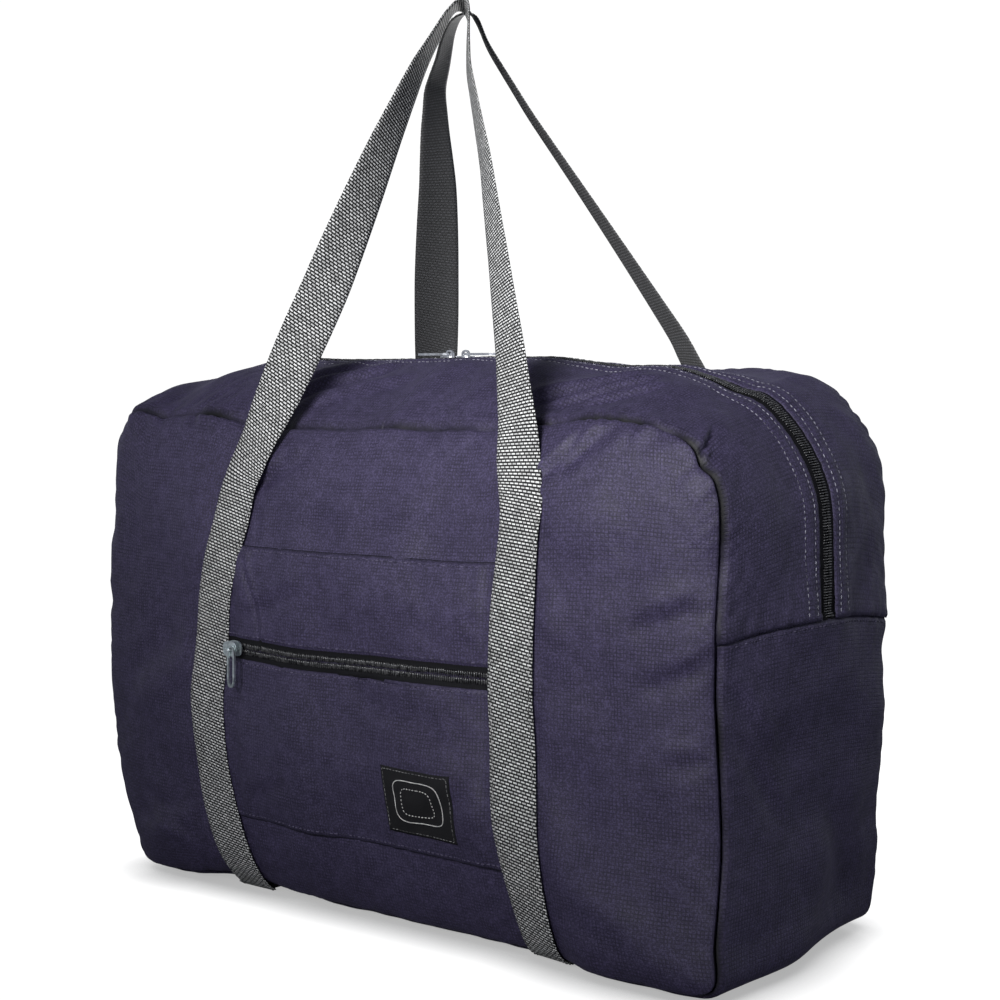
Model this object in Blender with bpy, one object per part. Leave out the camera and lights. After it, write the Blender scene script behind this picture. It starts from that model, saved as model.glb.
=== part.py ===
"""Folding travel tote: a soft zipped bag with two webbing handles and a zipped pouch on its front.

All lengths are in metres. The bag stands on z = 0, its front faces -Y and +X is to its right.
Every soft piece is a thin closed shell. A piece that moves hangs from an empty on its joint's axis.
"""

import math

import bmesh
import bpy
from mathutils import Vector

# Bag
WIDTH = 0.480  # of the front and rear panels
DEPTH = 0.160  # from the front seam to the rear seam
FOOT = 0.0020  # underside of the fabric, above the webbing that runs beneath it
PANEL_TOP = 0.303
CREST = 0.338  # the zip along the top
CREST_HALF = 0.254  # the zip at the ends, from the bag's middle
END_SEAM = 0.188  # height of the seam across each end, where the main zip stops
FACE_BULGE = 0.029  # how far the front and rear panels stand out of their seams
FABRIC = 0.0012
GAP = 0.0004  # between two pieces sewn together
TOP_POWER = 8.0  # superellipse exponents of the panels' outline, above and below its middle
FOOT_POWER = 12.0
CREST_POWER = 4.4  # and of the zip's line, which turns the corners more gently
BULGE_POWER = 2.5
BULGE_SHARPNESS = 0.6

# Mouth: the stiff middle stretch of the top that opens as two flaps
FLAP_HALF = 0.135
FLAP_GAP = 0.0010
FLAP_HINGE_Z = 0.3024

# Zips: coil edge, tape edge and fabric edge, counted from the zip's centre line
COIL_EDGES = (0.0012, 0.0027)
TAPE_EDGES = (0.0030, 0.0061)
ZIP_HALF = 0.0065
TAPE = 0.0008
COIL_RISE = 0.0007  # how far a coil stands out on each face of its tape

# Sliders and their ring pulls
SLIDERS_MEET = -0.012
SLIDER_LENGTH = 0.0120
SLIDER_WIDTH = 0.0096
PLATE = 0.0009
COIL_PLAY = 0.0005
POST_LENGTH = 0.0044
POST_WIDTH = 0.0015
BAIL_FEET = 0.0026  # each foot of the bail, from the slider's middle
BAIL_WIRE = 0.0006
BAIL_RISE = 0.0033
RING_LENGTH = 0.0260
RING_WIDTH = 0.0080
RING_WIRE = 0.0014

# Pouch on the front
POUCH_HALF = 0.1040
POUCH_LOW = 0.052
POUCH_HIGH = 0.226
POUCH_ZIP = 0.160
POUCH_SEAM_LIFT = 0.0005
POUCH_FILL = 0.0038
POUCH_SLIDER = -0.0975
LABEL = (0.026, 0.080, 0.064, 0.104)  # left, right, low, high
LABEL_THICK = 0.0006

# Webbing
WEB_WIDTH = 0.030
WEB = 0.0015
WEB_LIFT = 0.0010  # of the sewn webbing off the panel
WEB_X = 0.120
WEB_TOP = 0.254  # where the handles leave the panels
APEX_Z = 0.556
APEX_OFFSET = Vector((0.0100, -0.0125, 0.0))  # the front handle's top; the rear one is opposite
APEX_ROUND = 0.045
APEX_SKEW = 0.097
APEX_SPAN = 0.06
LEFT_TWIST = 129.0  # degrees of twist from each foot to the top
RIGHT_TWIST = 51.0
TWIST_EASE = {-1: (0.8, 0.55), 1: (1.0, 0.3)}
LEAN_EASE = 1.2  # above 1, the handle follows the panel before it leans in
TWIST_START = 0.12  # share of the handle's height below which it lies flat along the panel
LEVEL_STRETCH = 0.08  # share of the handle's height over which its level foot turns square

HALF_WIDTH = WIDTH / 2
HALF_DEPTH = DEPTH / 2
HALF_HEIGHT = (PANEL_TOP - FOOT) / 2
MIDDLE = FOOT + HALF_HEIGHT
SIDES = {"left": -1, "right": 1}
FACES = {"front": -1, "rear": 1}


def smooth(value):
    value = min(max(value, 0.0), 1.0)
    return value * value * (3 - 2 * value)


def mix(start, end, share):
    return start + (end - start) * share


def steps(start, end, count):
    return [mix(start, end, index / count) for index in range(count + 1)]


# ---- The bag's form ----


def power_at(z):
    return TOP_POWER if z > MIDDLE else FOOT_POWER


def gauge(x, z):
    """0 in the middle of a panel and 1 on its outline."""
    power = power_at(z)
    across, up = abs(x) / HALF_WIDTH, abs(z - MIDDLE) / HALF_HEIGHT
    return (across**power + up**power) ** (1 / power)


def rim(angle):
    """A point (x, z) of a panel's outline; the angle runs from the top centre towards +X."""
    across, up = math.sin(angle), math.cos(angle)
    size = gauge(across * HALF_WIDTH, MIDDLE + up * HALF_HEIGHT)
    return across * HALF_WIDTH / size, MIDDLE + up * HALF_HEIGHT / size


def rim_angle_at_x(x):
    """The angle of the point on the upper outline at this x."""
    across = x / HALF_WIDTH
    return math.atan2(across, (1 - abs(across) ** TOP_POWER) ** (1 / TOP_POWER))


def rim_angle_at_z(z):
    """The angle of the point on the right outline at this height above the middle."""
    up = (z - MIDDLE) / HALF_HEIGHT
    return math.atan2((1 - up**TOP_POWER) ** (1 / TOP_POWER), up)


def rim_normal(angle):
    x, z = rim(angle)
    power = power_at(z) - 1
    slope_x = math.copysign(abs(x / HALF_WIDTH) ** power / HALF_WIDTH, x)
    slope_z = math.copysign(abs((z - MIDDLE) / HALF_HEIGHT) ** power / HALF_HEIGHT, z - MIDDLE)
    return Vector((slope_x, 0, slope_z)).normalized()


FLAP_ANGLE = rim_angle_at_x(FLAP_HALF)
SEAM_ANGLE = rim_angle_at_z(END_SEAM)
FOOT_ANGLE = math.radians(142)
TURN = 0.20  # radians past the flap over which the gusset turns from upright to square


def crest_offset(angle):
    """From the outline to the gusset's crest: straight up over the flaps, then to the zip's own curve."""
    turned = abs(math.remainder(angle, 2 * math.pi))
    side = math.copysign(1, math.sin(angle))
    shared = min(turned, SEAM_ANGLE)
    x, z = rim(shared)
    size = (math.sin(shared) ** CREST_POWER + abs(math.cos(shared)) ** CREST_POWER) ** (1 / CREST_POWER)
    crest_x = CREST_HALF * math.sin(shared) / size
    crest_z = MIDDLE + (CREST - MIDDLE) * math.cos(shared) / size
    upright = Vector((0, 0, CREST - z))
    curved = Vector((crest_x - x, 0, crest_z - z))
    offset = upright.lerp(curved, smooth((turned - FLAP_ANGLE) / TURN))
    offset *= 1 - smooth((turned - SEAM_ANGLE) / (FOOT_ANGLE - SEAM_ANGLE))
    return Vector((side * offset.x, 0, offset.z))


def gusset_point(angle, y, lift=0.0):
    """A point of the gusset, which runs round the bag between the front and rear panels."""
    x, z = rim(angle)
    turned = abs(math.remainder(angle, 2 * math.pi))
    outward = Vector((0, 0, 1)).lerp(rim_normal(angle), smooth((turned - FLAP_ANGLE) / TURN))
    crown = crest_offset(angle) * (1 - (y / HALF_DEPTH) ** 2)
    return Vector((x, y, z)) + crown + outward.normalized() * lift


def panel_point(x, z, face, lift=0.0):
    """A point of the front (face -1) or rear (face 1) panel, lifted out of it."""
    bulge = FACE_BULGE * max(0.0, 1 - gauge(x, z) ** BULGE_POWER) ** BULGE_SHARPNESS
    return Vector((x, face * (HALF_DEPTH + bulge + lift), z))


def pouch_point(x, z, lift=0.0):
    """A point of the pouch, which is flat across and follows the front panel's curve upwards."""
    middle, half = (POUCH_LOW + POUCH_HIGH) / 2, (POUCH_HIGH - POUCH_LOW) / 2
    fill = POUCH_FILL * (1 - ((z - middle) / half) ** 2)
    y = panel_point(0, z, -1, POUCH_SEAM_LIFT + FABRIC + fill + lift).y
    return Vector((x, y, z))


# ---- Scene and materials ----


def clear_scene():
    for thing in list(bpy.data.objects):
        bpy.data.objects.remove(thing, do_unlink=True)


def make_material(name, colour, roughness, metallic=0.0):
    material = bpy.data.materials.new(name)
    material.use_nodes = True
    shader = material.node_tree.nodes["Principled BSDF"]
    shader.inputs["Base Color"].default_value = (*colour, 1)
    shader.inputs["Roughness"].default_value = roughness
    shader.inputs["Metallic"].default_value = metallic
    return material


def joint(name, place, parent=None):
    """An empty on a joint's axis. Its own place in the world is kept beside it."""
    empty = bpy.data.objects.new(name, None)
    empty["place"] = place
    empty.location = Vector(place) - (Vector(parent["place"]) if parent else Vector())
    empty.parent = parent
    bpy.context.collection.objects.link(empty)
    return empty


def add_piece(name, mesh, material, parent=None):
    """Turns a bmesh in world coordinates into a named object that hangs from its joint."""
    bmesh.ops.recalc_face_normals(mesh, faces=mesh.faces)
    if parent:
        bmesh.ops.translate(mesh, verts=mesh.verts, vec=-Vector(parent["place"]))
    data = bpy.data.meshes.new(name)
    mesh.to_mesh(data)
    mesh.free()
    data.materials.append(material)
    data.shade_smooth()
    data.set_sharp_from_angle(angle=math.radians(40))
    piece = bpy.data.objects.new(name, data)
    piece.parent = parent
    bpy.context.collection.objects.link(piece)
    return piece


# ---- Mesh makers ----


def slab(outer, inner):
    """A closed body between two grids of points with the same rows and columns."""
    mesh = bmesh.new()
    skins = [[[mesh.verts.new(point) for point in row] for row in skin] for skin in (outer, inner)]
    rows, columns = len(outer), len(outer[0])
    for skin in skins:
        for row in range(rows - 1):
            for column in range(columns - 1):
                below, above = skin[row], skin[row + 1]
                mesh.faces.new((below[column], below[column + 1], above[column + 1], above[column]))
    top, bottom = skins
    border = [(0, column) for column in range(columns)]
    border += [(row, columns - 1) for row in range(1, rows)]
    border += [(rows - 1, column) for column in range(columns - 2, -1, -1)]
    border += [(row, 0) for row in range(rows - 2, 0, -1)]
    for (row, column), (next_row, next_column) in zip(border, border[1:] + border[:1]):
        mesh.faces.new(
            (
                top[row][column],
                top[next_row][next_column],
                bottom[next_row][next_column],
                bottom[row][column],
            )
        )
    return mesh


def gusset_band(angles, offsets, top, thickness):
    """A band of the gusset: angles run along it, and offsets are its y positions across."""
    outer = [[gusset_point(angle, y, top) for y in offsets] for angle in angles]
    inner = [[gusset_point(angle, y, top - thickness) for y in offsets] for angle in angles]
    return slab(outer, inner)


def pouch_band(heights, halves, top, thickness):
    outer = [[pouch_point(x, z, top) for x in halves] for z in heights]
    inner = [[pouch_point(x, z, top - thickness) for x in halves] for z in heights]
    return slab(outer, inner)


def dished_panel(face):
    """A front or rear panel, as rings of points round its middle."""
    mesh = bmesh.new()
    shares = (0.30, 0.55, 0.74, 0.88, 0.96, 1.0)
    outline = [rim(angle) for angle in steps(0, 2 * math.pi, 60)[:-1]]
    count = len(outline)
    skins = []
    for lift in (0.0, -FABRIC):
        rings = []
        for share in shares:
            spots = [(x * share, MIDDLE + (z - MIDDLE) * share) for x, z in outline]
            rings.append([mesh.verts.new(panel_point(x, z, face, lift)) for x, z in spots])
        centre = mesh.verts.new(panel_point(0, MIDDLE, face, lift))
        for index in range(count):
            after = (index + 1) % count
            mesh.faces.new((centre, rings[0][index], rings[0][after]))
            for near, far in zip(rings, rings[1:]):
                mesh.faces.new((near[index], far[index], far[after], near[after]))
        skins.append(rings[-1])
    top, bottom = skins
    for index in range(count):
        after = (index + 1) % count
        mesh.faces.new((top[index], top[after], bottom[after], bottom[index]))
    return mesh


def stack(loops):
    """A closed body through loops of points with the same count, capped at both ends."""
    mesh = bmesh.new()
    rings = [[mesh.verts.new(point) for point in loop] for loop in loops]
    count = len(rings[0])
    for near, far in zip(rings, rings[1:]):
        for index in range(count):
            after = (index + 1) % count
            mesh.faces.new((near[index], near[after], far[after], far[index]))
    mesh.faces.new(rings[0])
    mesh.faces.new(rings[-1])
    return mesh


def oval(length, width, height, power=3.0, count=24):
    """A rounded loop in a plane at this height; length runs along X and width along Y."""
    points = []
    for angle in steps(0, 2 * math.pi, count)[:-1]:
        across, along = math.sin(angle), math.cos(angle)
        size = (abs(across) ** power + abs(along) ** power) ** (1 / power)
        points.append(Vector((along * length / 2 / size, across * width / 2 / size, height)))
    return points


def move(mesh, place, upright):
    """Puts a small part, made flat about the origin, on its zip. On the pouch its +Z turns to -Y."""
    if not upright:
        for vertex in mesh.verts:
            vertex.co = Vector((vertex.co.x, -vertex.co.z, vertex.co.y))
    bmesh.ops.translate(mesh, verts=mesh.verts, vec=place)
    return mesh


def slider_body(place, nose, upright):
    """Two plates joined by a post near the nose, with the zip's coils running between them."""
    inner = COIL_RISE + TAPE / 2 + COIL_PLAY
    outer = inner + PLATE
    plate = {"length": SLIDER_LENGTH, "width": SLIDER_WIDTH}
    post = {"length": POST_LENGTH, "width": POST_WIDTH, "power": 2.0}
    shift = Vector((nose * (SLIDER_LENGTH / 2 - POST_LENGTH), 0, 0))
    levels = [(-outer, plate), (-inner, plate), (-inner, post), (inner, post), (inner, plate), (outer, plate)]
    loops = []
    for height, shape in levels:
        offset = shift if shape is post else Vector()
        loops.append([point + offset for point in oval(height=height, **shape)])
    return move(stack(loops), place, upright)


def bail_body(place, upright):
    """The bail that stands on the slider's outer plate and holds the pull."""
    plate_top = COIL_RISE + TAPE / 2 + COIL_PLAY + PLATE
    buried = PLATE / 2
    outer, inner = [], []
    for angle in steps(0, math.pi, 10):
        for ring, wire in ((outer, BAIL_WIRE), (inner, -BAIL_WIRE)):
            along = -math.cos(angle) * (BAIL_FEET + wire)
            up = plate_top + math.sin(angle) ** 0.6 * (BAIL_RISE + wire)
            ring.append([Vector((along, side * BAIL_WIRE, up)) for side in (-1, 1)])
    for ring in (outer, inner):
        for end in (0, -1):
            ring[end] = [Vector((point.x, point.y, plate_top - buried)) for point in ring[end]]
    return move(slab(outer, inner), place, upright)


def ring_body(hinge, direction, width=RING_WIDTH):
    """A flat ring pull. One end bar lies on the hinge, and the ring runs off along direction."""
    side = Vector((0, 1, 0)) if abs(direction.x) > 0.5 else Vector((1, 0, 0))
    normal = direction.cross(side)
    loops = []
    for length, across, height in (
        (RING_LENGTH, width, -1),
        (RING_LENGTH, width, 1),
        (RING_LENGTH - 2 * RING_WIRE, width - 2 * RING_WIRE, 1),
        (RING_LENGTH - 2 * RING_WIRE, width - 2 * RING_WIRE, -1),
    ):
        reach = RING_LENGTH / 2 - RING_WIRE / 2
        loop = []
        for point in oval(length, across, height * RING_WIRE / 2, power=4.0, count=28):
            spot = direction * (point.x + reach) + side * point.y + normal * point.z
            loop.append(hinge + spot)
        loops.append(loop)
    mesh = bmesh.new()
    rings = [[mesh.verts.new(point) for point in loop] for loop in loops]
    for near, far in zip(rings, rings[1:] + rings[:1]):
        for index in range(len(near)):
            after = (index + 1) % len(near)
            mesh.faces.new((near[index], near[after], far[after], far[index]))
    return mesh


def add_slider(name, mesh, bail, material, parent):
    """The slider with its bail joined on by a Boolean union."""
    body = add_piece(name, mesh, material, parent)
    helper = add_piece(name + "_bail", bail, material, parent)
    helper.hide_render = True
    helper.display_type = "WIRE"
    union = body.modifiers.new("Bail", "BOOLEAN")
    union.operation = "UNION"
    union.object = helper
    return body


# ---- The pieces ----


def build_shell(navy):
    """Front and rear panels, and the gusset between them in its fixed stretches."""
    for face_name, face in FACES.items():
        add_piece(face_name + "_panel", dished_panel(face), navy)
    edge = HALF_DEPTH - FABRIC - GAP
    start = rim_angle_at_z(END_SEAM - GAP)
    angles = steps(start, 2 * math.pi - start, 52)
    add_piece("lower_gusset", gusset_band(angles, steps(-edge, edge, 6), 0.0, FABRIC), navy)
    for side_name, side in SIDES.items():
        angles = steps(
            side * rim_angle_at_x(FLAP_HALF + FLAP_GAP / 2),
            side * rim_angle_at_z(END_SEAM + GAP),
            18,
        )
        for face_name, face in FACES.items():
            offsets = steps(face * edge, face * ZIP_HALF, 5)
            band = gusset_band(angles, offsets, 0.0, FABRIC)
            add_piece(f"{face_name}_{side_name}_gusset", band, navy)


def build_end_zips(black):
    """The two halves of the main zip from the mouth round each top corner and down the end."""
    for side_name, side in SIDES.items():
        angles = steps(
            side * rim_angle_at_x(FLAP_HALF + FLAP_GAP / 2),
            side * rim_angle_at_z(END_SEAM + GAP),
            18,
        )
        for face_name, face in FACES.items():
            prefix = f"{face_name}_{side_name}"
            offsets = [face * edge for edge in TAPE_EDGES]
            add_piece(prefix + "_tape", gusset_band(angles, offsets, 0.0, TAPE), black)
            offsets = [face * edge for edge in COIL_EDGES]
            band = gusset_band(angles, offsets, COIL_RISE, TAPE + 2 * COIL_RISE)
            add_piece(prefix + "_coil", band, black)


def build_mouth(navy, black):
    """The two flaps of the mouth, each with its half of the zip."""
    edge = HALF_DEPTH - FABRIC - GAP - FLAP_GAP
    reach = rim_angle_at_x(FLAP_HALF - FLAP_GAP / 2)
    angles = steps(-reach, reach, 8)
    hinges = {}
    for face_name, face in FACES.items():
        hinge = joint(face_name + "_flap_hinge", (0, face * edge, FLAP_HINGE_Z))
        hinges[face_name] = hinge
        offsets = steps(face * edge, face * ZIP_HALF, 6)
        add_piece(face_name + "_flap", gusset_band(angles, offsets, 0.0, FABRIC), navy, hinge)
        offsets = [face * side for side in TAPE_EDGES]
        band = gusset_band(angles, offsets, 0.0, TAPE)
        add_piece(face_name + "_mouth_tape", band, black, hinge)
        offsets = [face * side for side in COIL_EDGES]
        band = gusset_band(angles, offsets, COIL_RISE, TAPE + 2 * COIL_RISE)
        add_piece(face_name + "_mouth_coil", band, black, hinge)
    return hinges


def build_main_sliders(steel, front_hinge):
    """Two sliders that meet nose to nose, each with a ring pull that lies away from the other."""
    plate_top = COIL_RISE + TAPE / 2 + COIL_PLAY + PLATE
    for side_name, side in SIDES.items():
        x = SLIDERS_MEET + side * (SLIDER_LENGTH / 2 + FLAP_GAP / 2)
        place = Vector((x, 0, CREST - TAPE / 2))
        slide = joint(side_name + "_slide", place, front_hinge)
        body = slider_body(place, -side, True)
        add_slider(side_name + "_slider", body, bail_body(place, True), steel, slide)
        hinge_place = place + Vector((0, 0, plate_top + RING_WIRE / 2 + COIL_PLAY))
        hinge = joint(side_name + "_pull_hinge", hinge_place, slide)
        ring = ring_body(hinge_place, Vector((side, 0, 0)))
        add_piece(side_name + "_pull", ring, steel, hinge)


def build_pouch(navy, black, gunmetal, label_black):
    """The zipped pouch that the bag folds into, its zip, its slider and the woven label."""
    across = steps(-POUCH_HALF, POUCH_HALF, 6)
    low = steps(POUCH_LOW, POUCH_ZIP - ZIP_HALF, 6)
    high = steps(POUCH_ZIP + ZIP_HALF, POUCH_HIGH, 5)
    add_piece("pouch_lower", pouch_band(low, across, 0.0, FABRIC), navy)
    add_piece("pouch_upper", pouch_band(high, across, 0.0, FABRIC), navy)
    ends = (-POUCH_HALF, POUCH_HALF)
    for name, sign in (("lower", -1), ("upper", 1)):
        heights = [POUCH_ZIP + sign * edge for edge in TAPE_EDGES]
        add_piece(f"pouch_{name}_tape", pouch_band(heights, ends, 0.0, TAPE), black)
        heights = [POUCH_ZIP + sign * edge for edge in COIL_EDGES]
        band = pouch_band(heights, ends, COIL_RISE, TAPE + 2 * COIL_RISE)
        add_piece(f"pouch_{name}_coil", band, black)

    place = pouch_point(POUCH_SLIDER, POUCH_ZIP, -TAPE / 2)
    slide = joint("pouch_slide", place)
    body = slider_body(place, 1, False)
    add_slider("pouch_slider", body, bail_body(place, False), gunmetal, slide)
    plate_top = COIL_RISE + TAPE / 2 + COIL_PLAY + PLATE
    pivot = place + Vector((BAIL_FEET, -(plate_top + RING_WIRE / 2 + COIL_PLAY), 0))
    hinge = joint("pouch_pull_pivot", pivot, slide)
    drop = Vector((0, 0, -1))
    narrow = RING_WIDTH - 0.0016
    ring = ring_body(pivot - drop * (RING_WIRE + COIL_PLAY), drop, narrow)
    add_piece("pouch_pull", ring, gunmetal, hinge)

    left, right, bottom, top = LABEL
    lift = LABEL_THICK + GAP
    band = pouch_band(steps(bottom, top, 4), (left, right), lift, LABEL_THICK)
    add_piece("woven_label", band, label_black)


def sewn_webbing(x, face):
    """The stretch of webbing sewn up a panel, from the lower seam to where the handle leaves it."""
    edges = (x - WEB_WIDTH / 2, x + WEB_WIDTH / 2)
    heights = steps(0.004, 0.030, 6) + steps(0.030, WEB_TOP, 14)[1:]
    outer = [[panel_point(edge, z, face, WEB_LIFT + WEB) for edge in edges] for z in heights]
    inner = [[panel_point(edge, z, face, WEB_LIFT) for edge in edges] for z in heights]
    return slab(outer, inner)


def bottom_webbing(x):
    edges = (x - WEB_WIDTH / 2, x + WEB_WIDTH / 2)
    ends = (-HALF_DEPTH, HALF_DEPTH)
    grids = [[[Vector((edge, y, z)) for edge in edges] for y in ends] for z in (0.0, WEB)]
    return slab(*grids)


def handle_foot(face):
    """The middle of the handle's two feet, just clear of the panel at their inner edges."""
    inner = panel_point(WEB_X - WEB_WIDTH / 2, WEB_TOP, face, WEB_LIFT + WEB / 2)
    return Vector((0, inner.y, WEB_TOP + 2 * GAP))


def handle_centre(share, face):
    """The handle's centre line; share runs from -1 at its left foot over 0, its top, to 1."""
    foot = handle_foot(face)
    tip = APEX_OFFSET * -face
    turn = math.hypot(share, APEX_ROUND)
    height = 1 - (turn - APEX_ROUND) / (math.hypot(1, APEX_ROUND) - APEX_ROUND)
    skew = APEX_SKEW * share * math.exp(-((share / APEX_SPAN) ** 2))
    x = WEB_X * share + tip.x * height
    y = mix(foot.y, tip.y, max(0.0, height) ** LEAN_EASE) + skew
    return Vector((x, y, mix(foot.z, APEX_Z, height))), height


def handle_frame(share, face):
    """The centre, the width direction and the face normal of the handle's webbing."""
    small = 0.001
    centre, height = handle_centre(share, face)
    tangent = handle_centre(share + small, face)[0] - handle_centre(share - small, face)[0]
    tangent.normalize()
    left_ease, right_ease = TWIST_EASE[face]
    start = 180.0 if face < 0 else 0.0
    free = max(0.0, height - TWIST_START) / (1 - TWIST_START)
    if share < 0:
        twist = start + LEFT_TWIST * free**left_ease
    else:
        twist = start + 180.0 - RIGHT_TWIST * free**right_ease
    level = Vector((math.cos(math.radians(twist)), math.sin(math.radians(twist)), 0))
    square = (level - tangent * level.dot(tangent)).normalized()
    width = level.lerp(square, smooth(height / LEVEL_STRETCH)).normalized()
    return centre, width, width.cross(tangent).normalized()


def handle_webbing(face):
    """The free loop of a handle, twisted on its way to the top."""
    shares = [math.copysign(abs(step) ** 1.5, step) for step in steps(-1, 1, 44)]
    grids = ([], [])
    for share in shares:
        centre, width, normal = handle_frame(share, face)
        for grid, side in zip(grids, (0.5, -0.5)):
            middle = centre + normal * WEB * side
            grid.append([middle - width * WEB_WIDTH / 2, middle + width * WEB_WIDTH / 2])
    return slab(*grids)


def build_webbing(grey):
    """Two straps that run under the bag and up both panels, and the handles they end in."""
    for side_name, side in SIDES.items():
        x = side * WEB_X
        add_piece(f"{side_name}_bottom_webbing", bottom_webbing(x), grey)
        for face_name, face in FACES.items():
            add_piece(f"{face_name}_{side_name}_webbing", sewn_webbing(x, face), grey)
    for face_name, face in FACES.items():
        fold = handle_foot(face) + Vector((0, face * (WEB / 2 + GAP), -GAP))
        hinge = joint(face_name + "_handle_hinge", fold)
        add_piece(face_name + "_handle", handle_webbing(face), grey, hinge)


def main():
    clear_scene()
    navy = make_material("navy_ripstop", (0.052, 0.045, 0.105), 0.55)
    black = make_material("black_zip", (0.012, 0.012, 0.014), 0.5)
    grey = make_material("grey_webbing", (0.19, 0.19, 0.19), 0.8)
    steel = make_material("slider_steel", (0.55, 0.56, 0.58), 0.3, 1.0)
    gunmetal = make_material("slider_gunmetal", (0.10, 0.12, 0.14), 0.35, 1.0)
    label_black = make_material("label_black", (0.01, 0.01, 0.01), 0.7)
    build_shell(navy)
    build_end_zips(black)
    hinges = build_mouth(navy, black)
    build_main_sliders(steel, hinges["front"])
    build_pouch(navy, black, gunmetal, label_black)
    build_webbing(grey)


main()
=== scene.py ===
"""Looks of the folding travel tote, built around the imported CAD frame.

All lengths are in metres. The bag stands on z = 0, its front faces -Y and +X is to its right.
The bag's form is the CAD's own, worked out here again at a finer grain: two dished panels joined
by a gusset that runs round the bag. Cloth, webbing, zips and stitches are laid on that form.
"""

import math

import bpy
import numpy as np
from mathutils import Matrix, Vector


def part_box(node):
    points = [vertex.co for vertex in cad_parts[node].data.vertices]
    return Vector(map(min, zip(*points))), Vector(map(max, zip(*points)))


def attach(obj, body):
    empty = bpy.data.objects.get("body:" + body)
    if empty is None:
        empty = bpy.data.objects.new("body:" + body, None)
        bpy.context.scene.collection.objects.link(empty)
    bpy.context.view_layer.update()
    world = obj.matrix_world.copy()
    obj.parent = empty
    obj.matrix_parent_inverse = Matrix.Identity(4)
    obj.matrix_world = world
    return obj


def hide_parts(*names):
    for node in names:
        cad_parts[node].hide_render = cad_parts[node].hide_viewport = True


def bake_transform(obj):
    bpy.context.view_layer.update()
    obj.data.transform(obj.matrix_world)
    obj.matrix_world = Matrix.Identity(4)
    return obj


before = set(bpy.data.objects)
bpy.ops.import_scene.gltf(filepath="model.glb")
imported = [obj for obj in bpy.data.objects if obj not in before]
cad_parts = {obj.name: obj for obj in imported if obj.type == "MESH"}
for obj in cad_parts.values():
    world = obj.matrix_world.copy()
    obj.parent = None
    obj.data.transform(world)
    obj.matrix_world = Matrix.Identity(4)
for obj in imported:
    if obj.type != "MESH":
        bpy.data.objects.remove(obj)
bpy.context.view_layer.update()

# ---- Dimensions, from the frame ----

FABRIC = 0.0012  # thickness of the CAD's stand-in shells
PANEL_LOW, PANEL_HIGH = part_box("front_panel")
HALF_WIDTH = PANEL_HIGH.x
FOOT = PANEL_LOW.z
PANEL_TOP = PANEL_HIGH.z
HALF_DEPTH = FABRIC - PANEL_HIGH.y
FACE_BULGE = -PANEL_LOW.y - HALF_DEPTH
HALF_HEIGHT = (PANEL_TOP - FOOT) / 2
MIDDLE = FOOT + HALF_HEIGHT
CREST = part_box("front_mouth_tape")[1].z
CREST_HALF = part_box("front_right_tape")[1].x
END_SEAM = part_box("front_right_gusset")[0].z - 0.0007  # that piece starts just above the seam
ZIP_HALF = -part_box("front_right_gusset")[1].y
WEB_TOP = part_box("front_left_webbing")[1].z
WEB_X = (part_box("front_right_webbing")[0].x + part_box("front_right_webbing")[1].x) / 2
WEB_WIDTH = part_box("front_right_webbing")[1].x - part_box("front_right_webbing")[0].x
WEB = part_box("left_bottom_webbing")[1].z
POUCH_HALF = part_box("pouch_lower")[1].x
POUCH_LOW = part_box("pouch_lower")[0].z
POUCH_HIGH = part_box("pouch_upper")[1].z
POUCH_ZIP = (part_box("pouch_lower")[1].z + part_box("pouch_upper")[0].z) / 2
LABEL_LOW, LABEL_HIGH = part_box("woven_label")

# ---- The form's driving numbers, as in the CAD ----

TOP_POWER = 8.0
FOOT_POWER = 24.0  # the feet of the bag are squarer than the CAD's
CREST_POWER = 4.4
BULGE_POWER = 2.5
BULGE_SHARPNESS = 0.6
FLAP_HALF = 0.135
TURN = 0.20
FOOT_ANGLE = math.radians(142)
WEB_LIFT = 0.0010
APEX_Z = 0.556
APEX_OFFSET = (0.0100, -0.0125)
APEX_ROUND = 0.045
APEX_SKEW = 0.097
APEX_SPAN = 0.06
LEFT_TWIST = 129.0
RIGHT_TWIST = 51.0
TWIST_EASE = {-1: (0.8, 0.55), 1: (1.0, 0.3)}
LEAN_EASE = 1.2
TWIST_START = 0.12
LEVEL_STRETCH = 0.08
GAP = 0.0004

# ---- What is finer here than in the CAD ----

CLOTH = 0.0006  # thickness of the cloth as shown
SEAM_SAG = 0.0050  # the top seams hang below the CAD's outline in the middle
SEAM_RISE = 0.0040  # and stand above it near the corners
GROOVE = 0.0030  # how deep the seams lie in the cloth
GROOVE_WIDTH = 0.0013
STITCH_ROWS = (0.0112, 0.0190)  # from the main zip's centre line
TOOTH_PITCH = 0.0015
TOOTH = (0.0036, 0.0010, 0.0016)  # length, width and height of one tooth of a coil
TOOTH_OFFSET = 0.0019  # from the zip's centre line to the middle of a tooth

# ---- Lines, each of a few stops: a place and an offset in metres ----

# how far the ends stand out of the CAD's form, by height
LEFT_END = (
    (0.0, -0.023), (0.02, -0.020), (0.05, -0.004), (0.08, 0.0080), (0.13, 0.0130),
    (0.19, 0.0120), (0.25, 0.0065), (0.30, 0.006),
)
FRONT_RIGHT_END = (
    (0.0, 0.012), (0.015, 0.009), (0.03, 0.005), (0.06, 0.003), (0.11, 0.0005),
    (0.16, -0.003), (0.20, -0.0025), (0.26, 0.001), (0.275, 0.0), (0.30, -0.004),
)
REAR_RIGHT_END = (
    (0.0, -0.008), (0.03, -0.004), (0.06, 0.001), (0.13, 0.0060), (0.25, 0.0045),
    (0.30, 0.001),
)
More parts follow.
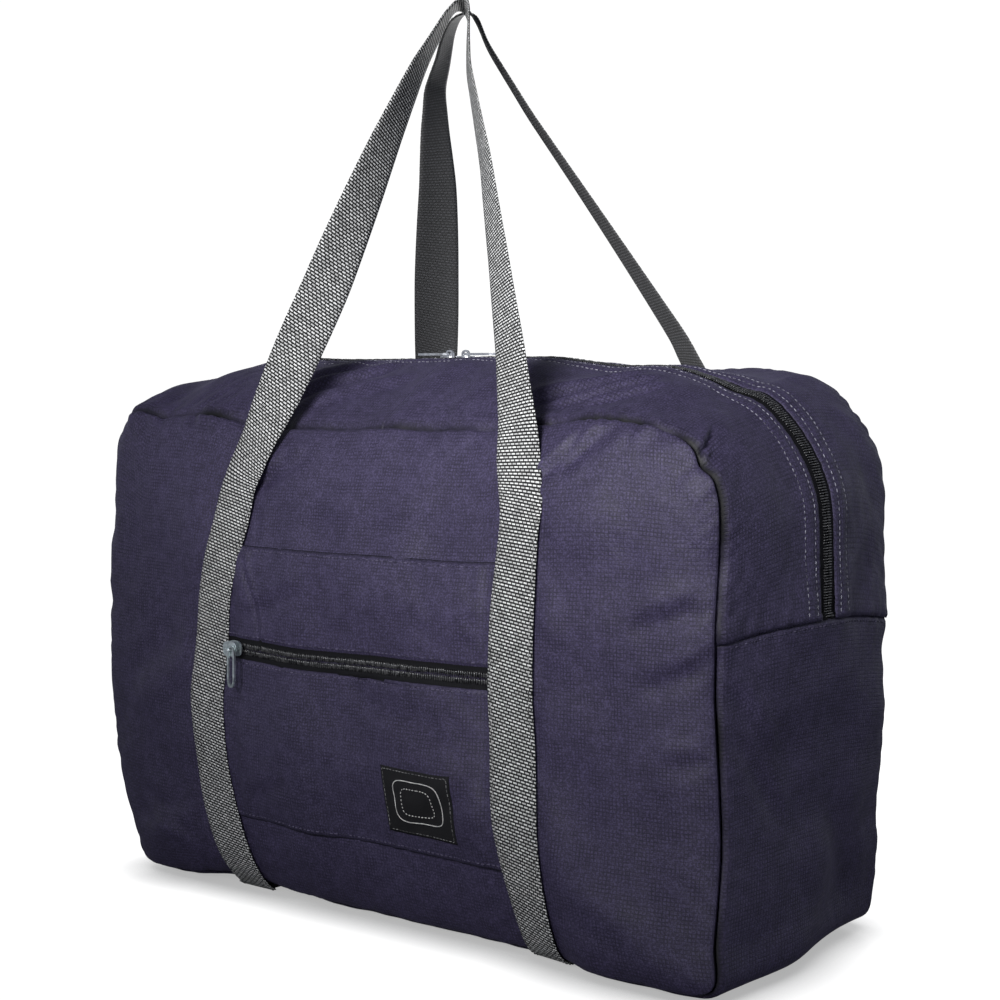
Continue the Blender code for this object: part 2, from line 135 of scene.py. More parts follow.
# how far the rear top seam rises, by distance from the middle
REAR_RISE = (
    (0.05, 0.0), (0.10, 0.010), (0.13, 0.018), (0.18, 0.018), (0.203, 0.021),
    (0.2175, 0.017), (0.2235, 0.014), (0.24, 0.014),
)
# x of the sewn webbing's centre on the front, by height
FRONT_WEBBING_LEFT = (
    (0.0, -0.110), (0.02, -0.1135), (0.06, -0.1215), (0.127, -0.127), (0.185, -0.1205),
    (0.233, -0.108), (0.260, -0.1045),
)
FRONT_WEBBING_RIGHT = (
    (0.0, 0.130), (0.03, 0.1275), (0.08, 0.1205), (0.148, 0.1165), (0.20, 0.1190),
    (0.260, 0.1225),
)
# how far each handle strays in x from an even curve, from its left foot (-1) to its right foot (1)
FRONT_HANDLE = (
    (-1.0, 0.0155), (-0.8, 0.0140), (-0.6, 0.0100), (-0.45, 0.003), (-0.3, -0.0045),
    (-0.15, -0.0105), (0.0, -0.0075), (0.18, -0.0095), (0.37, -0.0005), (0.56, 0.0045),
    (0.72, 0.0075), (0.85, 0.0075), (1.0, 0.0025),
)
REAR_HANDLE = (
    (-1.0, 0.0), (-0.85, -0.009), (-0.72, -0.013), (-0.56, -0.017), (-0.37, -0.020),
    (-0.26, -0.0245), (-0.18, -0.0260), (-0.08, -0.0160), (0.0, -0.003), (0.10, -0.009),
    (0.25, -0.005), (0.5, 0.009), (0.7, 0.020), (0.85, 0.018), (1.0, 0.008),
)
# and how far the rear handle stands out over the full top corner
REAR_HANDLE_OUT = ((0.74, 0.0), (0.82, 0.0060), (0.88, 0.0090), (0.95, 0.0075), (1.0, 0.0015))

SIDES = {"left": -1, "right": 1}
FACES = {"front": -1, "rear": 1}


def smooth(value):
    value = np.clip(value, 0.0, 1.0)
    return value * value * (3 - 2 * value)


def mix(start, end, share):
    return start + (end - start) * share


def bell(value, width):
    """1 at 0, falling away smoothly within about twice the width."""
    return np.exp(-((value / width) ** 2))


def points(x, y, z):
    """An array of points from coordinates that may differ in shape."""
    return np.stack(np.broadcast_arrays(x, y, z), axis=-1).astype(float)


def unit(vectors):
    return vectors / np.maximum(np.linalg.norm(vectors, axis=-1, keepdims=True), 1e-12)


# ---- The bag's form ----


def uv_of(across, up):
    return np.stack([across, up], axis=-1)


def rim_turn(x, z):
    """The outline's angle towards a point of a panel."""
    return np.arctan2(x / HALF_WIDTH, (z - MIDDLE) / HALF_HEIGHT)


def gauge(x, z):
    """0 in the middle of a panel and 1 on its outline."""
    power = np.where(z > MIDDLE, TOP_POWER, FOOT_POWER)
    across = np.abs(x) / HALF_WIDTH
    up = np.abs(z - MIDDLE) / HALF_HEIGHT
    return np.maximum(across**power + up**power, 1e-12) ** (1 / power)


def sag(x, z):
    """How far cloth at x and z stands above the CAD's form, whose top seam is straight."""
    wave = mix(-SEAM_SAG, SEAM_RISE, smooth((np.abs(x) - 0.085) / 0.085))
    return wave * smooth((z - MIDDLE) / HALF_HEIGHT)


def drawn(value, stops):
    """A line through a few given stops, each a pair of a place and a value."""
    return np.interp(value, [place for place, _ in stops], [height for _, height in stops])


def slumped(spots):
    """Points of the CAD's form moved to the bag's fuller top corners and its slack lower ones."""
    x, y, z = spots[..., 0], spots[..., 1], spots[..., 2]
    out = np.abs(x)
    left = smooth((0.02 - x) / 0.04)
    rear = smooth((y + 0.030) / (HALF_DEPTH + 0.020))
    crown = 1 - (y / HALF_DEPTH) ** 2
    high = smooth((z - 0.195) / 0.080)
    end = smooth((out - 0.120) / 0.100)
    left_out = drawn(z, LEFT_END)
    front_out = drawn(z, FRONT_RIGHT_END)
    rear_out = drawn(z, REAR_RIGHT_END)
    side = mix(mix(front_out, rear_out, rear), left_out, left) * end * np.sign(x)
    rear_up = drawn(out, REAR_RISE)
    left_up = 0.013 * smooth((out - 0.190) / 0.035) + 0.002 * smooth((out - 0.100) / 0.060) * crown
    room = np.clip((0.333 - z) / 0.018, 0.0, 1.0)  # the crest itself stays where it is
    dip = -0.0055 * smooth((x - 0.060) / 0.060) * smooth((0.225 - x) / 0.030) * crown
    up = mix(mix(0.0015, rear_up * room, rear) + dip, left_up, left) * high
    low = smooth((0.090 - z) / 0.090)
    to_seam = np.sign(y) * smooth(np.abs(y) / HALF_DEPTH)
    forward = mix(0.0145, 0.007, left) * smooth((out - 0.120) / 0.050) * low * to_seam
    hollow = 0.0045 * bell(x + 0.125, 0.045) * smooth((0.040 - z) / 0.040) * smooth(-y / HALF_DEPTH)
    return spots + points(side, forward, up + hollow)


def rim(angle):
    """x and z of the outline; the angle runs from the top centre towards +X."""
    across, up = np.sin(angle), np.cos(angle)
    size = gauge(across * HALF_WIDTH, MIDDLE + up * HALF_HEIGHT)
    return across * HALF_WIDTH / size, MIDDLE + up * HALF_HEIGHT / size


def rim_angle_at_x(x):
    across = x / HALF_WIDTH
    return math.atan2(across, (1 - abs(across) ** TOP_POWER) ** (1 / TOP_POWER))


def rim_angle_at_z(z):
    up = (z - MIDDLE) / HALF_HEIGHT
    return math.atan2((1 - up**TOP_POWER) ** (1 / TOP_POWER), up)


FLAP_ANGLE = rim_angle_at_x(FLAP_HALF)
SEAM_ANGLE = rim_angle_at_z(END_SEAM)
RIM_ANGLES = np.linspace(-math.pi, math.pi, 6001)
RIM_X, RIM_Z = rim(RIM_ANGLES)
RIM_LENGTHS = np.concatenate([[0], np.cumsum(np.hypot(np.diff(RIM_X), np.diff(RIM_Z)))])
RIM_LENGTHS -= np.interp(0, RIM_ANGLES, RIM_LENGTHS)
PERIMETER = RIM_LENGTHS[-1] - RIM_LENGTHS[0]


def wrapped(angle):
    return (angle + math.pi) % (2 * math.pi) - math.pi


def length_at(angle):
    """Distance along the outline from the top centre, past the bag's foot if need be."""
    turns = np.round((angle - wrapped(angle)) / (2 * math.pi))
    return np.interp(wrapped(angle), RIM_ANGLES, RIM_LENGTHS) + turns * PERIMETER


def angle_at(length):
    turns = np.floor((length - RIM_LENGTHS[0]) / PERIMETER)
    inside = length - turns * PERIMETER
    return np.interp(inside, RIM_LENGTHS, RIM_ANGLES) + turns * 2 * math.pi


def waves(seed, count, shortest, longest):
    """A seeded, smooth height field of two coordinates, mostly between -1 and 1."""
    random = np.random.default_rng(seed)
    lengths = np.exp(random.uniform(math.log(shortest), math.log(longest), count))
    headings = random.uniform(0, 2 * math.pi, count)
    phases = random.uniform(0, 2 * math.pi, count)

    def height(a, b):
        total = 0.0
        for length, heading, phase in zip(lengths, headings, phases):
            way = a * math.cos(heading) + b * math.sin(heading)
            total = total + np.cos(2 * math.pi * way / length + phase)
        return total / math.sqrt(count)

    return height


STRAY = waves(5, 5, 0.050, 0.110)
SMALL_STRAY = waves(8, 6, 0.016, 0.030)
TUCK_ANGLE = math.atan2(0.2285 / HALF_WIDTH, (0.2780 - MIDDLE) / HALF_HEIGHT)


def rim_normal(angle):
    x, z = rim(angle)
    power = np.where(z > MIDDLE, TOP_POWER, FOOT_POWER) - 1
    slope_x = np.sign(x) * np.abs(x / HALF_WIDTH) ** power / HALF_WIDTH
    slope_z = np.sign(z - MIDDLE) * np.abs((z - MIDDLE) / HALF_HEIGHT) ** power / HALF_HEIGHT
    return unit(points(slope_x, 0.0, slope_z))


def wander(angle, face, away):
    """How a seam strays from its smooth line, fading out into the cloth beside it."""
    along = length_at(angle)
    calm = 1 - 0.6 * smooth((np.abs(wrapped(angle)) - 1.35) / 0.30)
    stray = calm * (0.0011 * STRAY(along, 0.4 * face) + 0.0006 * SMALL_STRAY(along, 0.4 * face))
    nick = -0.0045 * bell(wrapped(angle) - TUCK_ANGLE, 0.030) * (face < 0)
    near = np.exp(-np.maximum(away, 0.0) / 0.010)
    out = rim_normal(angle)
    side = points(0.0, face * stray * near, 0.0)
    return side + out * ((0.6 * stray + nick) * near)[..., None]


def gusset_base(angle, y):
    """A point of the gusset before any relief, with the CAD's crest."""
    x, z = rim(angle)
    turned = np.abs(wrapped(angle))
    side = np.where(np.sin(angle) < 0, -1.0, 1.0)
    shared = np.minimum(turned, SEAM_ANGLE)
    shared_x, shared_z = rim(shared)
    shared_z = shared_z + sag(shared_x, shared_z)
    size = (np.sin(shared) ** CREST_POWER + np.abs(np.cos(shared)) ** CREST_POWER) ** (1 / CREST_POWER)
    crest_x = CREST_HALF * np.sin(shared) / size - shared_x
    crest_z = MIDDLE + (CREST - MIDDLE) * np.cos(shared) / size - shared_z
    curved = smooth((turned - FLAP_ANGLE) / TURN)
    fade = 1 - smooth((turned - SEAM_ANGLE) / (FOOT_ANGLE - SEAM_ANGLE))
    offset_x = mix(0.0, crest_x, curved) * fade * side
    offset_z = mix(CREST - shared_z, crest_z, curved) * fade
    crown = 1 - (y / HALF_DEPTH) ** 2
    spots = slumped(points(x + offset_x * crown, y, z + sag(x, z) + offset_z * crown))
    return spots + wander(angle, np.where(y < 0, -1, 1), HALF_DEPTH - np.abs(y))


def panel_base(x, z, face):
    """A point of the front (face -1) or rear (face 1) panel before any relief."""
    inside = np.maximum(0.0, 1 - gauge(x, z) ** BULGE_POWER)
    bulge = FACE_BULGE * inside**BULGE_SHARPNESS
    spots = slumped(points(x, face * (HALF_DEPTH + bulge), z + sag(x, z)))
    angle = rim_turn(x, z)
    return spots + wander(angle, face, (1 - gauge(x, z)) * HALF_HEIGHT)


STEP = 0.0006  # for the slopes that normals are worked out from


def panel_normal(x, z, face):
    shrink = 0.995  # the slope is endless on the outline itself
    x, z = x * shrink, MIDDLE + (z - MIDDLE) * shrink
    across = panel_base(x + STEP, z, face) - panel_base(x - STEP, z, face)
    up = panel_base(x, z + STEP, face) - panel_base(x, z - STEP, face)
    return unit(np.cross(across, up)) * -face


def gusset_normal(angle, y):
    turn = STEP / HALF_HEIGHT
    along = gusset_base(angle + turn, y) - gusset_base(angle - turn, y)
    across = gusset_base(angle, y + STEP) - gusset_base(angle, y - STEP)
    return unit(np.cross(along, across))


# ---- Relief: the folds, gathers and slack of soft cloth ----


BROAD_HEIGHT = 0.0019  # of the broad slack on the panels
BROAD = waves(3, 7, 0.085, 0.20)
MEDIUM = waves(14, 10, 0.030, 0.065)
SMALL = waves(25, 12, 0.011, 0.024)


def gathers(seed, along, away, spacing, reach, lean):
    """Small puckers that run off a seam, along it and away from it: round crests, tight valleys."""
    drift = waves(seed, 4, 5 * spacing, 14 * spacing)(along, 0 * along)
    size = waves(seed + 1, 5, 3 * spacing, 12 * spacing)(along, 0 * along)
    run = reach * (1 + 0.45 * waves(seed + 2, 4, 2 * spacing, 6 * spacing)(along, 0 * along))
    phase = math.pi * (along + lean * away) / spacing + 1.6 * drift
    crest = 1.6 * np.sqrt(np.cos(phase) ** 2 + 0.02) - 1
    return crest * np.clip(0.65 + 0.5 * size, 0.05, 1.6) * np.exp(-away / np.maximum(run, 0.3 * reach))


def by_face(seed, y, *how):
    """Gathers that differ between the front half of the gusset and the rear half."""
    return np.where(y < 0, gathers(seed - 1, *how), gathers(seed + 1, *how))


def crease(a, b, start, end, width, depth):
    """One soft fold along a line: a valley of this depth beside a lower ridge."""
    reach = math.dist(start, end)
    way = ((end[0] - start[0]) / reach, (end[1] - start[1]) / reach)
    along = ((a - start[0]) * way[0] + (b - start[1]) * way[1]) / reach
    off = (a - start[0]) * -way[1] + (b - start[1]) * way[0]
    ends = smooth(along / 0.3) * smooth((1 - along) / 0.3)
    return -depth * ends * (bell(off, width) - 0.6 * bell(off - 1.7 * width, width))


# start, end, width, depth; x and z on the front panel
FRONT_CREASES = (
    ((-0.086, 0.258), (-0.083, 0.205), 0.0022, 0.0011),
    ((-0.094, 0.262), (-0.045, 0.286), 0.0050, 0.0022),
    ((-0.100, 0.255), (-0.060, 0.292), 0.0040, 0.0018),
    ((0.140, 0.268), (0.176, 0.297), 0.0042, 0.0026),
    ((0.128, 0.262), (0.158, 0.294), 0.0034, 0.0022),
    ((0.190, 0.190), (0.236, 0.208), 0.0060, 0.0024),
    ((0.196, 0.160), (0.238, 0.176), 0.0055, 0.0022),
    ((0.206, 0.120), (0.238, 0.128), 0.0050, 0.0012),
    ((-0.060, 0.238), (0.070, 0.246), 0.0090, 0.0012),
    ((-0.150, 0.170), (-0.215, 0.120), 0.0110, 0.0022),
    ((-0.145, 0.060), (-0.225, 0.035), 0.0080, 0.0022),
    ((-0.142, 0.030), (-0.210, 0.062), 0.0060, 0.0016),
    ((0.145, 0.040), (0.200, 0.018), 0.0090, 0.0014),
)
# start, end, width, depth; distance along the outline from the top centre, and y
GUSSET_CREASES = (
    ((0.090, -0.074), (0.155, -0.022), 0.0050, 0.0034),
    ((0.108, -0.076), (0.172, -0.030), 0.0042, 0.0032),
    ((0.130, -0.077), (0.182, -0.040), 0.0038, 0.0028),
    ((-0.105, -0.076), (-0.030, -0.020), 0.0055, 0.0036),
    ((-0.120, -0.074), (-0.060, -0.012), 0.0060, 0.0022),
    ((-0.090, -0.078), (0.000, -0.040), 0.0060, 0.0020),
    ((0.352, -0.076), (0.405, -0.040), 0.0050, 0.0016),
    ((0.372, -0.076), (0.440, -0.030), 0.0070, 0.0020),
    ((0.338, 0.020), (0.296, 0.060), 0.0080, 0.0016),
    ((0.230, 0.030), (0.290, 0.068), 0.0100, 0.0018),
    ((0.420, 0.010), (0.500, 0.050), 0.0120, 0.0022),
    ((-0.352, -0.060), (-0.420, -0.020), 0.0070, 0.0020),
    ((0.2330, -0.0850), (0.2260, -0.0600), 0.0016, 0.0030),
)


def edge_distance(x, z):
    """Distance from a panel's outline, true near it."""
    here = gauge(x, z)
    slope = np.hypot(gauge(x + STEP, z) - gauge(x - STEP, z), gauge(x, z + STEP) - gauge(x, z - STEP))
    return np.maximum(0.0, 1 - here) / np.maximum(slope / (2 * STEP), 1e-3)


def webbing_x(side, z, face):
    """The centre line of the webbing sewn up a panel; on the front neither runs quite straight."""
    if face > 0:
        return side * WEB_X + 0.004 * (1 + side) * smooth((z - 0.10) / 0.15)
    if side < 0:
        return drawn(z, FRONT_WEBBING_LEFT)
    return drawn(z, FRONT_WEBBING_RIGHT)


def off_webbing(x, z, face):
    """Distance across the panel from the edge of the nearer webbing; less than 0 under it."""
    right = np.abs(x - webbing_x(1, z, face))
    left = np.abs(x - webbing_x(-1, z, face))
    return np.minimum(left, right) - WEB_WIDTH / 2


def under_webbing(x, z, face):
    """1 where webbing holds the panel flat, 0 a little away from it."""
    return smooth(1 - off_webbing(x, z, face) / 0.006) * smooth((WEB_TOP + 0.004 - z) / 0.012)


def panel_relief(x, z, face):
    """How far the panel's cloth stands out of its form."""
    angle = rim_turn(x, z)
    along = length_at(angle) + np.where(angle < -SEAM_ANGLE, PERIMETER, 0.0)
    joined = 1 - bell(angle + SEAM_ANGLE, 0.03)
    away = edge_distance(x, z)
    calm = 1 - np.exp(-away / 0.030)
    flip = 0.37 * (face > 0)
    relief = BROAD_HEIGHT * BROAD(x + flip, z) * calm + 0.00075 * MEDIUM(x, z + flip) * calm
    relief = relief + 0.00010 * SMALL(x + flip, z)
    envelope = 0.60 + 0.65 * smooth((np.abs(x) - 0.11) / 0.03) * smooth((z - 0.2) / 0.1)
    envelope = envelope - 0.10 * smooth((0.14 - z) / 0.1)
    lean = np.where(z > MIDDLE, -0.55 * np.sign(x), 0.25)
    puckers = gathers(31 + face, along, away, 0.0115, 0.0120, lean)
    relief = relief + 0.00110 * envelope * joined * puckers
    beside = np.maximum(off_webbing(x, z, face), 0.0)
    sewn = smooth((WEB_TOP + 0.01 - z) / 0.02)
    sides = np.where(np.abs(x) > WEB_X, 0.0, 50.0)
    run = z + sides + 90 * (x > 0)
    relief = relief + 0.00075 * sewn * gathers(47 + face, run, beside, 0.0125, 0.0100, 0.5)
    relief = relief - 0.0012 * sewn * bell(beside, 0.0045)
    if face < 0:
        for start, end, width, depth in FRONT_CREASES:
            relief = relief + crease(x, z, start, end, width, depth)
    held = under_webbing(x, z, face)
    return mix(relief, -0.0006 + BROAD_HEIGHT * BROAD(x + flip, z) * calm, held)


def groove(away, shallow):
    """How far the cloth is drawn in beside a seam, with a wider and shallower dip on a panel's side."""
    return GROOVE * bell(away, GROOVE_WIDTH) + shallow * bell(away, 0.0050)


def panel_at(x, z, face, lift=0.0):
    """A point on the panel's cloth, lifted out of it."""
    x, z = np.asarray(x, float), np.asarray(z, float)
    base, normal = panel_base(x, z, face), panel_normal(x, z, face)
    away = edge_distance(x, z)
    angle = rim_turn(x, z)
    height = panel_relief(x, z, face) * (1 - bell(away, GROOVE_WIDTH)) + lift
    return base + normal * height[..., None] - rim_normal(angle) * groove(away, 0.0009)[..., None]


def gusset_relief(angle, y):
    along = length_at(angle)
    away = HALF_DEPTH - np.abs(y)
    turned = np.abs(wrapped(angle))
    top = smooth((SEAM_ANGLE - turned) / 0.02)
    calm = 1 - np.exp(-away / 0.022)
    zipped = top * bell(np.abs(y), 0.016)
    relief = 0.0020 * BROAD(along, y + 0.7) * calm + 0.00100 * MEDIUM(along + 0.5, y) * calm
    relief = relief * (1 - 0.9 * zipped) + 0.00010 * SMALL(along, y) * (1 - zipped)
    short = np.abs(along)
    envelope = 0.5 + 0.7 * smooth((short - 0.09) / 0.03) * smooth((0.26 - short) / 0.04)
    envelope = envelope - 0.15 * smooth((short - 0.32) / 0.06)
    lean = np.where(short < 0.33, 0.55 * np.sign(along), -0.25)
    relief = relief + 0.00095 * envelope * by_face(31, y, along, away, 0.0115, 0.0150, lean)
    rows = np.abs(np.abs(y) - mix(*STITCH_ROWS, 0.5)) / 0.0042
    puffed = 0.00035 * np.exp(-(rows**4)) - 0.00035 * bell(np.abs(y) - STITCH_ROWS[0], 0.0012)
    puffed = puffed - 0.00045 * bell(np.abs(y) - STITCH_ROWS[1], 0.0014)
    beyond = np.maximum(np.abs(y) - STITCH_ROWS[0], 0.0)
    relief = relief + top * (puffed + 0.00028 * by_face(59, y, along, beyond, 0.0072, 0.0100, 0.3))
    seam = np.abs(turned - SEAM_ANGLE) * HALF_HEIGHT
    relief = relief + 0.0006 * gathers(71, y, seam, 0.013, 0.018, 0.4 * np.sign(turned - SEAM_ANGLE))
    for start, end, width, depth in GUSSET_CREASES:
        relief = relief + crease(along, y, start, end, width, depth)
    foot = smooth((turned - math.radians(128)) / math.radians(8))
    return relief * (1 - 0.85 * foot)


def gusset_at(angle, y, lift=0.0):
    """A point on the gusset's cloth, lifted out of it."""
    angle, y = np.broadcast_arrays(np.asarray(angle, float), np.asarray(y, float))
    base, normal = gusset_base(angle, y), gusset_normal(angle, y)
    away = np.maximum(HALF_DEPTH - np.abs(y), 0.0)
    height = gusset_relief(angle, y) * (1 - bell(away, GROOVE_WIDTH)) + lift
    return base + normal * height[..., None] - rim_normal(angle) * groove(away, 0.0)[..., None]


# ---- Meshes ----


def new_piece(name, vertices, faces, material, uvs=None, shade=None):
    """An object from arrays of vertices and quads, smooth, with one uv for each vertex.

    The shade, from 0 to 1, tells a material where shade is painted: down in a seam, or on a strap's
    reverse.
    """
    mesh = bpy.data.meshes.new(name)
    mesh.vertices.add(len(vertices))
    mesh.vertices.foreach_set("co", np.asarray(vertices, np.float32).ravel())
    faces = np.asarray(faces, np.int32)
    mesh.loops.add(faces.size)
    mesh.loops.foreach_set("vertex_index", faces.ravel())
    mesh.polygons.add(len(faces))
    mesh.polygons.foreach_set("loop_start", np.arange(0, faces.size, faces.shape[1], dtype=np.int32))
    if uvs is not None:
        layer = mesh.uv_layers.new(name="UVMap")
        layer.data.foreach_set("uv", np.asarray(uvs, np.float32)[faces.ravel()].ravel())
    if shade is not None:
        layer = mesh.attributes.new("shade", "FLOAT", "POINT")
        layer.data.foreach_set("value", np.asarray(shade, np.float32).ravel())
    mesh.update(calc_edges=True)
    mesh.validate()
    mesh.shade_smooth()
    mesh.materials.append(material)
    piece = bpy.data.objects.new(name, mesh)
    bpy.context.scene.collection.objects.link(piece)
    return piece


def grid_faces(rows, columns, start=0):
    index = start + np.arange(rows * columns).reshape(rows, columns)
    corners = (index[:-1, :-1], index[:-1, 1:], index[1:, 1:], index[1:, :-1])
    return np.stack(corners, axis=-1).reshape(-1, 4)


def grid_normals(grid):
    along = np.gradient(grid, axis=0)
    across = np.gradient(grid, axis=1)
    return unit(np.cross(across, along))


def cloth_piece(name, grid, uvs, material, thickness=CLOTH, outward=None, shade=None):
    """A closed thin sheet under a grid of points."""
    normals = grid_normals(grid)
    if outward is not None and (normals * outward).sum() < 0:
        grid, uvs, normals = grid[:, ::-1], uvs[:, ::-1], -normals[:, ::-1]
        shade = None if shade is None else shade[:, ::-1]
    rows, columns = grid.shape[:2]
    inner = grid - normals * thickness
    count = rows * columns
    index = np.arange(count).reshape(rows, columns)
    border = np.concatenate([index[0], index[1:, -1], index[-1, -2::-1], index[-2:0:-1, 0]])
    after = np.roll(border, -1)
    walls = np.stack([after, border, border + count, after + count], axis=-1)
    near, far = grid_faces(rows, columns), grid_faces(rows, columns, count)[:, ::-1]
    faces = np.concatenate([near, far, walls])
    both = np.concatenate([grid.reshape(-1, 3), inner.reshape(-1, 3)])
    flat = uvs.reshape(-1, 2)
    if shade is not None:
        shade = np.concatenate([shade.ravel(), shade.ravel()])
    return new_piece(name, both, faces, material, np.concatenate([flat, flat]), shade)


def painted_seam_shade(along, away):
    """How much shade is painted into a seam; it is pulled tighter in some places than in others."""
    corner = smooth((along - 0.125) / 0.03) * smooth((0.300 - along) / 0.05)
    tight = np.clip(0.55 + 0.4 * STRAY(along, 0.9) + 0.6 * corner, 0.25, 1.0)
    return tight * bell(away, 0.0016)


def repeated(name, template, centres, across, along, material):
    """One mesh of many copies of a small body, each turned to its own frame."""
    vertices, faces = template
    across, along = unit(across), unit(along)
    up = unit(np.cross(across, along))
    placed = (
        centres[:, None]
        + vertices[None, :, :1] * across[:, None]
        + vertices[None, :, 1:2] * along[:, None]
        + vertices[None, :, 2:] * up[:, None]
    )
    starts = np.arange(len(centres)) * len(vertices)
    every = (faces[None] + starts[:, None, None]).reshape(-1, 4)
    return new_piece(name, placed.reshape(-1, 3), every, material)


def capsule(length, width, height, sides=8):
    """A small rounded bar along its first axis, of quads only."""
    swell = (0.45, 0.92, 1.0, 0.92, 0.45)
    rings = len(swell)
    ends = np.linspace(-1, 1, rings)
    turns = np.arange(sides) * 2 * math.pi / sides
    ring = [
        points(end * length / 2, np.cos(turns) * size * width / 2, np.sin(turns) * size * height / 2)
        for end, size in zip(ends, swell)
    ]
    vertices = np.concatenate(ring)
    faces = []
    for level in range(rings - 1):
        for side in range(sides):
            here, after = level * sides + side, level * sides + (side + 1) % sides
            faces.append((here, after, after + sides, here + sides))
    for level, step in ((0, -1), (rings - 1, 1)):
        loop = [level * sides + side for side in range(sides)][::step]
        for side in range(0, sides - 2, 2):
            faces.append((loop[0], loop[side + 1], loop[side + 2], loop[(side + 3) % sides]))
    return vertices, np.array(faces)


def run_lengths(path):
    """Distance along a path to each of its points."""
    return np.concatenate([[0], np.cumsum(np.linalg.norm(np.diff(path, axis=0), axis=1))])


def resampled(line, lengths, spots):
    return np.stack([np.interp(spots, lengths, line[:, axis]) for axis in range(3)], axis=-1)


def even(path, up, spacing, start, end):
    """Points at an even spacing along a path, with its direction and the cloth's normal at each."""
    lengths = run_lengths(path)
    count = max(2, int((lengths[-1] - start - end) / spacing))
    spots = np.linspace(start, lengths[-1] - end, count)
    placed = resampled(path, lengths, spots)
    return placed, unit(np.gradient(placed, axis=0)), resampled(up, lengths, spots)


def stitches(name, path, up, material, pitch=0.0034, length=0.0022, thick=0.00080):
    """A row of stitches along a path; up is the cloth's normal at each point of the path."""
    placed, along, normal = even(path, up, pitch, pitch, pitch)
    stitch = capsule(length, thick, thick * 0.8, sides=6)
    return repeated(name, stitch, placed, along, np.cross(normal, along), material)


def coil(name, path, up, shift):
    """One side of a zip's coil along a path; the two sides' teeth are half a pitch apart."""
    placed, way, normal = even(path, up, TOOTH_PITCH, 0.0004 + shift, 0.0008)
    return repeated(name, capsule(*TOOTH), placed, np.cross(way, normal), way, TEETH)


# ---- Materials ----


def times(colour, factor):
    return tuple(channel * factor for channel in colour)


def add_node(tree, kind, inputs=None, **settings):
    """A new shader node; each of its inputs is given a value or another node's output."""
    made = tree.nodes.new(kind)
    for key, value in settings.items():
        setattr(made, key, value)
    for key, value in (inputs or {}).items():
        if isinstance(value, bpy.types.NodeSocket):
            tree.links.new(value, made.inputs[key])
        else:
            made.inputs[key].default_value = value
    return made


class Paint:
    """A node material built up by short calls."""

    def __init__(self, name, roughness, metallic=0.0, specular=0.5, sheen=0.0, sheen_tint=(1, 1, 1)):
        self.material = bpy.data.materials.new(name)
        self.material.use_nodes = True
        self.tree = self.material.node_tree
        self.shader = self.tree.nodes["Principled BSDF"]
        settings = {
            "Roughness": roughness,
            "Metallic": metallic,
            "Specular IOR Level": specular,
            "Sheen Weight": sheen,
            "Sheen Roughness": 0.45,
            "Sheen Tint": (*sheen_tint, 1),
        }
        for key, value in settings.items():
            self.shader.inputs[key].default_value = value

    def node(self, kind, inputs=None, **settings):
        return add_node(self.tree, kind, inputs, **settings)

    def math(self, operation, first, second=0.0, third=0.0):
        inputs = {0: first, 1: second, 2: third}
        return self.node("ShaderNodeMath", inputs, operation=operation).outputs[0]

    def uv(self):
        place = self.node("ShaderNodeUVMap", uv_map="UVMap").outputs[0]
        split = self.node("ShaderNodeSeparateXYZ", {0: place})
        return split.outputs[0], split.outputs[1]

    def place(self):
        return self.node("ShaderNodeTexCoord").outputs["Object"]

    def noise(self, scale, detail=2.0, roughness=0.5, vector=None):
        place = vector or self.place()
        inputs = {"Vector": place, "Scale": scale, "Detail": detail, "Roughness": roughness}
        return self.node("ShaderNodeTexNoise", inputs).outputs["Fac"]

    def ramp(self, value, low, high, start=0.0, end=1.0):
        inputs = {0: value, 1: low, 2: high, 3: start, 4: end}
        return self.node("ShaderNodeMapRange", inputs, interpolation_type="SMOOTHSTEP").outputs[0]

    def blend(self, share, first, second):
        made = self.node("ShaderNodeMix", {"Factor": share}, data_type="RGBA")
        for slot, value in ((6, first), (7, second)):
            if isinstance(value, bpy.types.NodeSocket):
                self.tree.links.new(value, made.inputs[slot])
            else:
                made.inputs[slot].default_value = (*value, 1)
        return made.outputs[2]

    def finish(self, colour, height=None, strength=0.3, distance=0.0005, roughness=None):
        self.tree.links.new(colour, self.shader.inputs["Base Color"])
        if roughness is not None:
            self.tree.links.new(roughness, self.shader.inputs["Roughness"])
        if height is not None:
            inputs = {"Strength": strength, "Distance": distance, "Height": height}
            bump = self.node("ShaderNodeBump", inputs)
            self.tree.links.new(bump.outputs[0], self.shader.inputs["Normal"])
        return self.material


